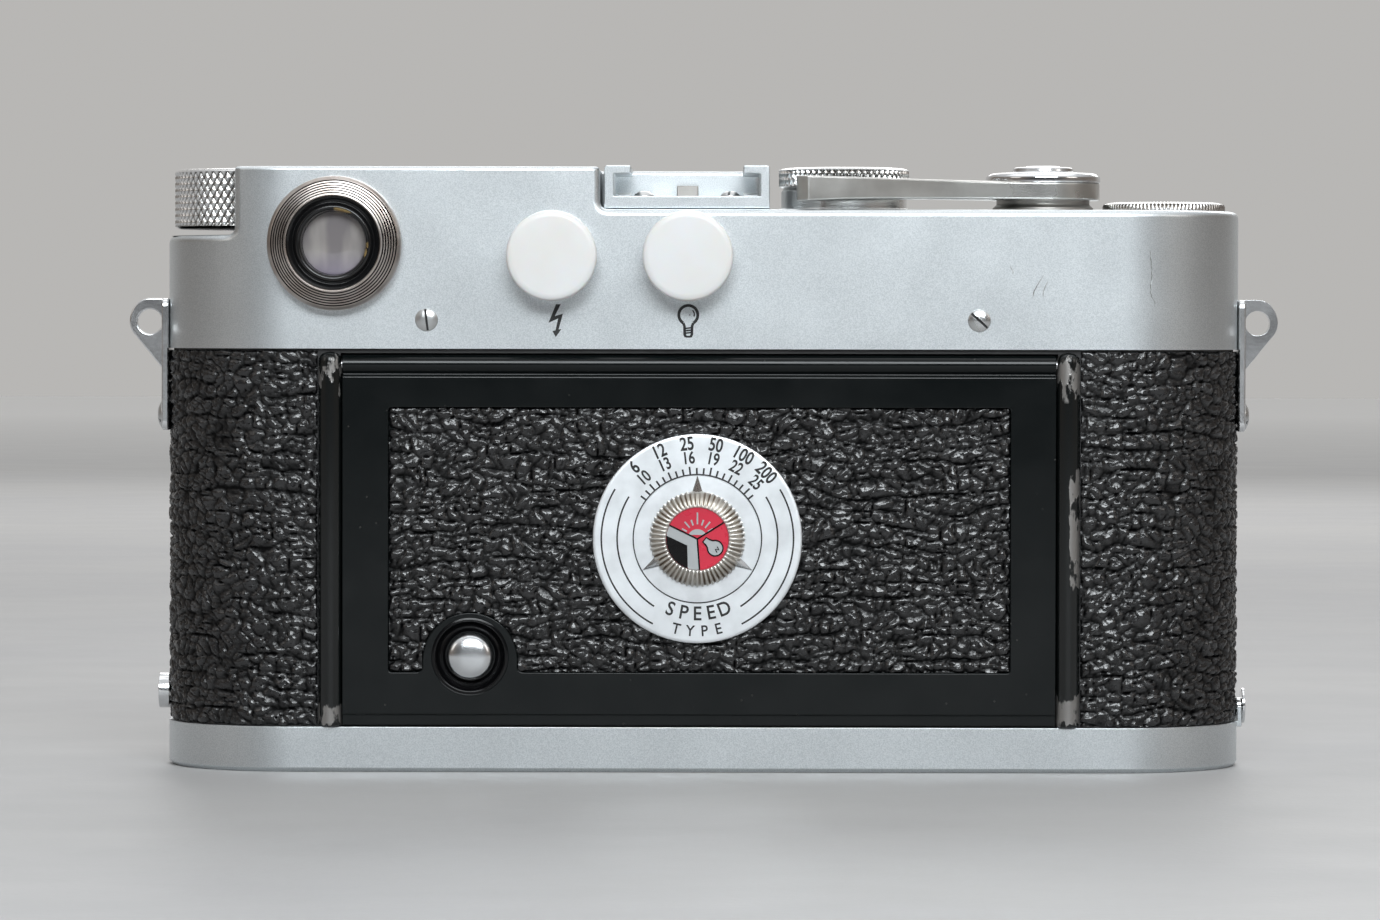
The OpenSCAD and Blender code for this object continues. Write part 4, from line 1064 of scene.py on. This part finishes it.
def make_flash_caps():
    refine("flash_sockets", NICKEL, 0.1)
    for (_, side), x in zip(SIDES, SOCKET_X):
        profile = [(0, -21.8), (2.8, -21.76, 1.6), (5.1, -21.68, 0.3), (5.6, -21.45, 0.25),
                   (5.72, -20.9, 0.3), (5.7, -18.6, 0.5), (5.5, -17.15, 0.3), (4.9, -17.0), (4.9, -17.6),
                   (1.95, -17.6), (1.95, -13.6), (0, -13.6)]
        cap = Shape().lathe(profile, (x, 0, SOCKET_Z), "y", 96, steps=6)
        put("milk_cap_" + side, cap, MILK, "milk_plastic", "flash_cap_" + side, crease=40)
    signs = Shape()
    bolt = [(0.12, 2.05), (0.72, 2.05), (-0.02, 0.55), (1.0, 0.86), (0.46, -1.15), (0.82, -1.08), (0.1, -2.1),
            (-0.32, -1.35), (0.06, -1.25), (0.4, 0.24), (-0.82, -0.3)]
    signs.prism(bolt[::-1], rear_face(SOCKET_X[0] + 0.35, REAR, SIGN_Z), -0.1, 0.03)
    lamp = rear_face(SOCKET_X[1] + 0.05, REAR, SIGN_Z)
    ribbon(signs, [(u, v + 0.72) for u, v in arc(1.2, -58, 238, 48)], 0.37, lamp, 0.03)
    for s in (-1, 1):
        neck = [(s * 0.63, -0.3), (s * 0.48, -0.7), (s * 0.46, -1.75), (s * 0.3, -2.05)]
        ribbon(signs, neck, 0.34, lamp, 0.03)
    for v in (-1.0, -1.3, -1.6):
        ribbon(signs, [(-0.5, v), (0.5, v + 0.12)], 0.2, lamp, 0.03)
    ribbon(signs, [(-0.34, -2.03), (0.34, -2.03)], 0.24, lamp, 0.03)
    ribbon(signs, [(u + 0.1, v + 0.8) for u, v in arc(0.66, -25, 50, 10)], 0.17, lamp, 0.03)
    ribbon(signs, [(0.12, 0.72), (0.26, 0.72)], 0.14, lamp, 0.03)
    put("flash_signs", signs, ENGRAVING_AND_SLOT_SHADE, "black_paint", body="camera")


def make_eyepiece():
    x, _, z = EYE
    pitch, first, count = 0.315, 6.1, 6     # the ring's fine steps: width, inner radius and number
    profile = [(5.9, -16.9), (5.9, -20.85, 0.1), (6.06, -20.98, 0.05)]
    for i in range(count):
        r, y = first + i * pitch, -20.97 + 0.29 * i
        profile += [(r, y), (r + 0.15, y + 0.04), (r + 0.165, y + 0.4), (r + 0.295, y + 0.4)]
    profile += [(8.0, -19.25), (8.12, -19.2, 0.05), (8.4, -18.85, 0.15), (8.5, -18.4, 0.2), (8.5, -17.1, 0.2),
                (8.25, -16.85), (7.5, -16.85)]

    def grooves(angles, radius, height):
        step = ((radius - first) / pitch) % 1
        # Rows in the grooves get relief 0, which the ring's material paints near-black as painted shade.
        shade = 0.0 if first < radius < first + count * pitch and 0.5 < step < 0.98 and height < -18 else 1.0
        return even(angles, radius, shade)

    ring = Shape().lathe(profile, (x, 0, z), "y", 160, True, shape=grooves)
    put("eyepiece_grip", ring, BRONZED, "bronze_ring", "eyepiece_ring", crease=24)
    bezel = Shape().lathe([(5.86, -20.5), (5.86, -15.3), (4.0, -15.3), (4.0, -19.5, 0.2), (4.15, -20.2, 0.25),
                           (4.55, -20.45, 0.25), (4.95, -20.1, 0.2), (5.15, -19.75, 0.15),
                           (5.45, -20.1, 0.15)], (x, 0, z), "y", 120, True)
    put("eyepiece_inner", bezel, WORN_RING, "black_plastic", "eyepiece_bezel", crease=40)
    profile = [(0, -18.75), (2.0, -18.7, 0.8), (3.96, -18.45), (3.96, -17.1), (0, -17.1)]
    glass = Shape().lathe(profile, (x, 0, z), "y", 96)
    put("eyepiece_glass", glass, EYE_GLASS, "clear_glass", "eyepiece_lens", crease=40)


def make_screw(name, node, place, radius, turn, out, axis="y", proud=0.45):
    """A domed head with a slot, and a dark block at the slot's bottom as painted shade. out is -1 when it
    looks to the rear or down the axis, 1 otherwise.
    """
    x, y, z = place
    profile = [(0, proud), (radius * 0.55, proud * 0.86, 0.3), (radius * 0.97, proud * 0.3, 0.15),
               (radius, 0), (radius, -0.5), (0, -0.5)]
    head = loose(name, Shape().lathe(profile, (0, 0, 0), "z", 48))
    slot = Shape().block((-radius - 1, -0.15, proud - 0.42), (radius + 1, 0.15, 2))
    # shade is the dark block at the slot's bottom: painted shade inside the slot.
    shade = Shape().block((-radius * 0.93, -0.145, proud - 0.5), (radius * 0.93, 0.145, proud - 0.38))
    for cut in (slot, shade):
        cut.points = [(u * cos(turn) - v * sin(turn), u * sin(turn) + v * cos(turn), w)
                      for u, v, w in cut.points]
    carve(head, slot)
    floor = loose(name + "_slot", shade)
    for vertex in list(head.data.vertices) + list(floor.data.vertices):
        u, v, w = (c / MM for c in vertex.co)
        spots = {"x": (x + out * w, y + out * u, z + v), "y": (x - out * u, y + out * w, z + v),
                 "z": (x + u, y + v, z + w)}
        vertex.co = Vector(spots[axis]) * MM
    tidy(head.data)
    tidy(floor.data)
    # The slot's dark block takes the lettering's dark material as painted shade.
    dress(floor, ENGRAVING_AND_SLOT_SHADE, "black_paint", body="camera")
    dress(head, SCREW_METAL, "nickel", node, crease=30, bevel=0.05)


def make_screws():
    for (side, name), x, turn in zip(SIDES, (-35.0, 34.9), (97, -42)):
        make_screw("cover_screw_" + name, "cover_screws", (x, REAR - 0.02, COVER_SCREW_Z), 1.45,
                   radians(turn), -1)
    for side, name in SIDES:
        make_screw("lug_screw_" + name, "lug_screws", (side * 69.8, 0, 45), 1.85, 0.5 * side, side, "x", 0.75)


# ---------------------------------------------------------------- top pieces

def diamonds(count, pitch, low, high, depth):
    """Diamond knurling between two heights, for a lathe."""
    def shape(angles, radius, height):
        if not low <= height < high - 1e-4:
            return even(angles, radius)
        a, b = angles * count / TAU, height / pitch
        ramps = [1 - np.abs(2 * ((a + s * b) % 1) - 1) for s in (-1, 1)]
        peak = np.clip(np.minimum(*ramps) * 1.5, 0, 1)
        fade = min(1.0, (height - low) / 0.15, (high - height) / 0.15)
        return radius - depth * fade * (1 - peak), 0.35 + 0.65 * peak
    return shape


def levels(radius, low, high, step):
    return [(radius, h) for h in np.linspace(low, high, int((high - low) / step) + 1)]


def make_rewind_knob():
    low, high = span("rewind_knob")
    r, z0, z1 = KNOB_R - 0.05, low[2], high[2]
    profile = [(0, z1 - 1.4), (2.1, z1 - 1.4), (2.1, z0), (r - 0.6, z0, 0.1), (r - 0.1, z0 + 0.25)]
    profile += levels(r, z0 + 0.3, z1 - 0.35, 0.12)
    profile += [(r - 0.15, z1 - 0.2), (r - 0.7, z1, 0.1), (r - 2.2, z1, 0.2), (r - 2.6, z1 - 0.35, 0.2),
                (4.2, z1 - 0.35, 0.3), (3.9, z1 + 0.1, 0.2), (2.2, z1 + 0.1, 0.2), (1.9, z1 - 0.6),
                (0, z1 - 0.6)]
    knob = Shape().lathe(profile, (KNOB[0], 0, 0), "z", 600,
                         shape=diamonds(75, 1.62, z0 + 0.3, z1 - 0.35, 0.34))
    put("knob_knurled", knob, KNURLED, "satin_chrome", "rewind_knob", crease=42)
    marks = Shape()
    place = top_face(KNOB[0], 0, z1 - 0.36)
    for a in (30, 150, 270):
        points = arc(7.3, a - 34, a + 34, 24)
        ribbon(marks, points, 0.28, place)
        tip = points[-1]
        ribbon(marks, [tip + np.array([-1.1, 0.2]), tip, tip + np.array([0.3, -1.1])], 0.25, place)
    put("knob_arrows", marks, ENGRAVING_AND_SLOT_SHADE, "black_paint", body="rewind_knob")


def make_speed_dial():
    low, high = span("speed_dial")
    x, r, z0, z1 = DIAL[0], 8.4, low[2], high[2]
    edge = 74.45                            # where the knurling starts, above a smaller foot
    profile = [(0, z0), (8.1, z0, 0.1), (8.1, edge - 0.5, 0.1), (7.8, edge - 0.3), (r - 0.1, edge)]
    profile += levels(r, edge + 0.05, z1 - 0.3, 0.11)
    profile += [(r - 0.2, z1 - 0.15), (r - 0.9, z1, 0.15), (4.4, z1 - 0.05, 0.2), (4.1, z1 - 0.3, 0.2),
                (0, z1 - 0.25)]
    dial = Shape().lathe(profile, (x, DIAL[1], 0), "z", 480,
                         shape=diamonds(60, 1.75, edge + 0.05, z1 - 0.3, 0.32))
    put("dial_knurled", dial, KNURLED, "satin_chrome", "speed_dial", crease=42)
    marks = Shape()
    for i, text in enumerate(("B", "1", "2", "4", "8", "15", "30", "60", "125", "250", "500", "1000")):
        turn = radians(-i * 28)
        write(marks, text, 1.25, top_face(x, DIAL[1], z1 - 0.03, turn, 6.1), 0.62)
    put("dial_numbers", marks, ENGRAVING_AND_SLOT_SHADE, "black_paint", body="speed_dial")
    profile = [(8.25, DECK_Z + 0.02), (8.55, DECK_Z + 0.02), (8.55, DECK_Z + 0.35, 0.1), (8.25, DECK_Z + 0.4)]
    collar = Shape().lathe(profile, (x, DIAL[1], 0), "z", 96, True)
    put("dial_washer", collar, POLISHED, "satin_chrome", body="camera")


HUB_R = 7.3
LEVER_LOW, LEVER_HIGH = 72.8, 75.0           # underside and top of the blade at the hub
LEVER_OUTLINE = [(-8, -8.2), (-16, -10.6), (-22, -12.9), (-26, -14), (-30.6, -15.2, 0.25),
                 (-32.0, -14.0, 0.4), (-31.9, -12.3, 0.7), (-28.5, -10.6), (-24, -9.6), (-19.5, -8.2, 1.5),
                 (-15.5, -5.6, 1.5), (-11, -2, 1.5), (-6.8, 2.6, 0.5)]


def make_lever():
    x, axle = HUB[0], (HUB[0], 0, 0)
    hub_arc = arc(HUB_R, 158, -90, 60)
    outline = [*soften(LEVER_OUTLINE + [hub_arc[0]], 4), *hub_arc[1:]]
    blade = Shape().prism(outline, lambda u, v, h: (x + u, v, h), 0, 1)
    flat, rise = 4, 27                      # lengths of the level part and of the part that bends upwards
    shaped = []
    for px, py, share in blade.points:
        t = min(max((x - px - flat) / rise, 0), 1)
        low, high = LEVER_LOW - 0.4 * t ** 4, LEVER_HIGH + 0.65 * t
        shaped.append((px, py, low + (high - low) * share))
    blade.points = shaped
    put("lever_blade", blade, LEVER_METAL, "satin_chrome", "advance_lever", crease=28, bevel=0.22,
        bevel_steps=3)
    profile = [(0, DECK_Z + 0.1), (6.5, DECK_Z + 0.1), (6.5, DECK_Z + 0.5, 0.1), (6.0, 72.2, 0.2),
               (6.0, LEVER_LOW), (0, LEVER_LOW)]
    boss = Shape().lathe(profile, axle)
    put("lever_boss", boss, MATT_STEEL, "satin_chrome", body="advance_lever")
    z = LEVER_HIGH
    profile = [(2.75, z), (7.4, z, 0.15), (7.4, z + 0.75, 0.2), (6.9, z + 1.25, 0.3), (4.2, z + 1.42, 0.2),
               (4.0, z + 1.45, 0.1), (3.85, 77.0, 0.2), (3.3, 77.1, 0.2), (2.75, 76.5, 0.1)]
    cap = Shape().lathe(profile, axle, "z", 128, True)
    put("lever_cap", cap, POLISHED, "polished_chrome", "lever_hub", crease=24)
    profile = [(0, 76.75), (2.45, 76.75), (2.45, 77.05, 0.15), (2.1, 77.25, 0.2), (1.2, 77.12, 0.3),
               (0.9, 77.0), (0, 76.97)]
    button = Shape().lathe(profile, axle, "z", 64)
    put("shutter_button_cap", button, POLISHED, "polished_chrome", "shutter_button", crease=24)


def make_counter():
    x, z0 = COUNTER[0], DECK_Z

    def ribs(angles, radius, height):
        if radius < 6.2 or height < z0 + 0.2:
            return even(angles, radius)
        wave = 0.5 + 0.5 * np.cos(angles * 96)
        return radius - 0.16 * (1 - wave), wave

    profile = [(0, z0), (7.9, z0, 0.05), (7.9, z0 + 0.7), (7.75, z0 + 0.98), (7.0, z0 + 1.18),
               (6.3, z0 + 1.26), (6.1, z0 + 1.18), (4.0, z0 + 1.2), (2.9, z0 + 1.22, 0.2),
               (2.7, z0 + 1.32, 0.1), (0, z0 + 1.34)]
    counter = Shape().lathe(profile, (x, COUNTER[1], 0), "z", 576, shape=ribs)
    put("counter_disc", counter, KNURLED, "satin_chrome", "frame_counter", crease=35)
    marks = Shape()
    frames = 40
    step = 360 / frames
    for i in range(frames):
        length = 0.7 if i % 5 == 0 else 0.35
        ribbon(marks, [polar(r, radians(90 - i * step)) for r in (5.95 - length, 5.95)], 0.14,
               top_face(x, COUNTER[1], z0 + 1.16))
    for i in range(0, frames, 5):
        spot = top_face(x, COUNTER[1], z0 + 1.19, radians(-i * step), 4.35)
        write(marks, str(i), 1.15, spot, 0.75, thick=0.04)
    put("counter_numbers", marks, ENGRAVING_AND_SLOT_SHADE, "black_paint", body="frame_counter")


def make_shoe():
    x, floor, top = LENS[0], DECK_Z + 1.7, SHOE_HIGH[2]
    right = [(10.5, DECK_Z + 0.14), (10.5, top, 0.5), (7.15, top, 0.25), (7.15, top - 1.0, 0.15),
             (9.3, top - 1.05, 0.2), (9.3, floor, 0.15)]
    outline = soften(right + [(-u, v, *w) for u, v, *w in right[::-1]], 4, True)
    rail = Shape().prism(outline, lambda u, v, h: (x + u, h, v), SHOE_LOW[1], SHOE_HIGH[1])
    put("shoe_rail", rail, SATIN, "polished_chrome", "accessory_shoe", crease=30, bevel=0.14, bevel_steps=3)
    stop = Shape().block((x - 1.4, SHOE_HIGH[1] - 1.2, floor - 0.1),
                         (x + 1.4, SHOE_HIGH[1] - 0.2, floor + 1.7))
    put("shoe_stop", stop, MATT_STEEL, "polished_chrome", body="camera", bevel=0.12)
    bow = [(-11, 0.02), (-9.5, 0.02), (-5, 0.42), (-1, 0.02), (1, 0.02), (1, 0.2), (-1, 0.22),
           (-5, 0.62), (-9.5, 0.22), (-11, 0.2)]
    for side, name in SIDES:
        spring = Shape().prism([(v, z + floor) for v, z in bow], along_x, x + side * 8.1 - 0.9,
                               x + side * 8.1 + 0.9)
        put("shoe_leaf_" + name, spring, SHOE_METAL, "polished_chrome", "shoe_spring")
    for i, (dx, y) in enumerate(((-5.5, -10), (5.5, -10), (-5.5, -1), (5.5, -1))):
        make_screw(f"shoe_screw_{i}", "shoe_screws", (x + dx, y, floor - 0.05), 1.3, 0.4 + i, 1, "z", 0.8)


# ---------------------------------------------------------------- sides, base, front and inside

def make_lugs():
    for side, name in SIDES:
        eye, z, r = 71.5, 57.0, 2.6
        turn = np.radians(np.linspace(-48, 90, 40))
        bow = [(eye + r * cos(a), z + (3.0 if a > 0 else r) * sin(a)) for a in turn]
        outline = [(69.3, 50.2)] + bow + [(69.3, z + 3.0)]
        web = loose("web", Shape().prism(outline, lambda u, v, h: (side * u, h, v), -1.0, 1.0))
        hole = Shape().lathe([(0, -3), (1.6, -3), (1.6, 3), (0, 3)], (side * eye, 0, z), "y", 64)
        carve(web, hole)
        web.name = "lug_" + name
        dress(web, LUG_CHROME, "steel", "strap_lug_" + name, crease=30, bevel=0.2, bevel_steps=3)
        plate = Shape().prism(rounded_box(-3.5, 3.5, 43.0, 60.0, 1.2), lambda u, v, h: (side * h, u, v),
                              68.85, 69.75)
        put("lug_plate_" + name, plate, LUG_CHROME, "steel", body="camera", bevel=0.18)


def make_rest():
    for nodes, material, bevel, steps in (
            ("base_plate", SATIN, 0.28, 3), ("tripod_bush", BRASS, 0.15, 2), ("base_key", SATIN, 0.12, 2),
            ("key_wing", POLISHED, 0.1, 2), ("side_studs", POLISHED, 0.2, 3),
            ("lens_mount", POLISHED, 0.25, 3),
            ("lens_barrel", SATIN, 0.2, 2), ("focus_ring", SATIN, 0.25, 3), ("aperture_ring", SATIN, 0.18, 3),
            ("lens_head", SATIN, 0.25, 3), ("lens_elements", LENS_GLASS, 0.05, 2),
            ("lens_release_button", POLISHED, 0.2, 3),
            ("frame_selector_lever self_timer_lever rewind_release_lever", POLISHED, 0.3, 3),
            ("mount_screws", POLISHED, 0.08, 2), ("body_shell inner_frame", CASTING, 0, 2),
            ("hinge_pin", STEEL, 0.08, 2), ("finder_block", CASTING, 0, 2),
            ("shutter_curtain", CLOTH, 0.08, 2),
            ("door_springs", STEEL, 0.08, 2), ("pressure_plate", MATT_BLACK, 0.08, 2),
            ("rewind_shaft wind_drum spring_drum sprocket_shaft take_up_spool", STEEL, 0.08, 2)):
        for node in nodes.split():
            refine(node, material, bevel, steps)


def make_lens_scales():
    marks = Shape()
    for i, text in enumerate(("1", "1.2", "1.5", "2", "3", "5", "10")):
        write(marks, text, 2.0, around_lens(21.25, 30.8 + 0.45, radians(-50 + i * 17)), 0.8)
    put("distance_numbers", marks, ENGRAVING_AND_SLOT_SHADE, "black_paint", body="focus_ring")
    stops = Shape()
    for i, text in enumerate(("2", "2.8", "4", "5.6", "8", "11", "16")):
        write(stops, text, 1.7, around_lens(19.82, 41.9, radians(-42 + i * 14)), 0.78)
    put("stop_numbers", stops, ENGRAVING_AND_SLOT_SHADE, "black_paint", body="aperture_ring")


make_top_cover()
for side, name in SIDES:
    body_leather(side, name)
make_door_leather()
make_beads()
make_door()
make_disc()
make_flash_caps()
make_eyepiece()
make_screws()
make_rewind_knob()
make_speed_dial()
make_lever()
make_counter()
make_shoe()
make_lugs()
make_rest()
make_lens_scales()


# ---------------------------------------------------------------- stage, light and viewpoint

def aim(holder, target):
    way = Vector(target) * MM - holder.location
    holder.rotation_euler = way.to_track_quat("-Z", "Y").to_euler()


def lamp(name, place, target, width, height, power, color=(1, 1, 1)):
    light = bpy.data.lights.new(name, "AREA")
    light.shape = "RECTANGLE"
    light.size, light.size_y = width * MM, height * MM
    light.energy = power
    light.color = color
    holder = linked(name, light)
    holder.location = Vector(place) * MM
    aim(holder, target)


FLOOR_HALF = 4000.0                         # half the side of the floor, in mm


def make_stage():
    corners = [(x * FLOOR_HALF, y * FLOOR_HALF, -0.02) for x, y in ((-1, -1), (1, -1), (1, 1), (-1, 1))]
    mesh = mesh_of("floor", corners, [(0, 1, 2, 3)])
    floor = linked("floor", mesh)
    look = Look("floor_paper", (0.45, 0.45, 0.45), 0.5, Specular_IOR_Level=0.15)
    paper = look.blend(look.patchy(160, 3.0, 0.3, 0.7), (0.365, 0.365, 0.37), (0.405, 0.402, 0.397))
    # Painted light: the paper is painted paler along y from 0.5 m to 3 m away, making up for the lamps' light
    # falling off.
    look.tint(look.ranged(look.axis(1), 0.5, 3.0), paper, (0.88, 0.87, 0.85))
    look.rough(look.noise(30, 4.0), 0.3, 0.7, 0.42, 0.55)
    look.bump(look.noise(1.4, 3.0), 0.05)
    mesh.materials.append(look.material)

    world = bpy.data.worlds.new("studio")
    bpy.context.scene.world = world
    world.use_nodes = True
    sky = Graph(world.node_tree)
    split = sky.add("ShaderNodeSeparateXYZ", {0: sky.add("ShaderNodeTexCoord").outputs["Generated"]})

    def faded(axis, low, high):
        return sky.ranged(split.outputs[axis], low, high, interpolation_type="SMOOTHSTEP")

    sides = sky.blend(faded("Y", -0.97, -0.6), (0.06, 0.062, 0.065), (0.195, 0.168, 0.147))
    low_sky = sky.blend(faded("Y", 0.5, 0.95), sides, (0.48, 0.472, 0.46))
    whole = sky.blend(faded("Z", 0.3, 0.85), low_sky, (0.7, 0.715, 0.73))
    sky.links.new(whole, sky.nodes["Background"].inputs[0])

    lamp("key", (110, -1000, 620), (0, 0, 45), 820, 440, 10.9, (0.95, 1.0, 1.03))
    lamp("overhead", (0, 100, 1300), (0, 0, 40), 1500, 1000, 3.2)
    lamp("left", (-900, -500, 500), (0, 0, 40), 420, 420, 0.5, (1.0, 0.95, 0.9))
    lamp("right", (900, -500, 500), (0, 0, 40), 420, 420, 0.8, (1.0, 0.95, 0.9))
    lamp("front", (150, 1100, 700), (0, 0, 30), 900, 600, 4.5)
    bpy.context.scene.view_settings.view_transform = "Standard"


def make_camera():
    data = bpy.data.cameras.new("viewpoint")
    data.sensor_width = 36
    data.lens = 153.4
    data.clip_start, data.clip_end = 0.01, 50
    holder = linked("viewpoint", data)
    holder.location = (0.00127, -0.76025, 0.0563)   # metres
    yaw, pitch, roll = 0.00393, -0.02248, 0.0018    # radians
    way = Vector((-sin(yaw) * cos(pitch), cos(yaw) * cos(pitch), sin(pitch)))
    turn = way.to_track_quat("-Z", "Y").to_matrix() @ Matrix.Rotation(roll, 3, "Z")
    holder.rotation_euler = turn.to_euler()
    bpy.context.scene.camera = holder


make_stage()
make_camera()
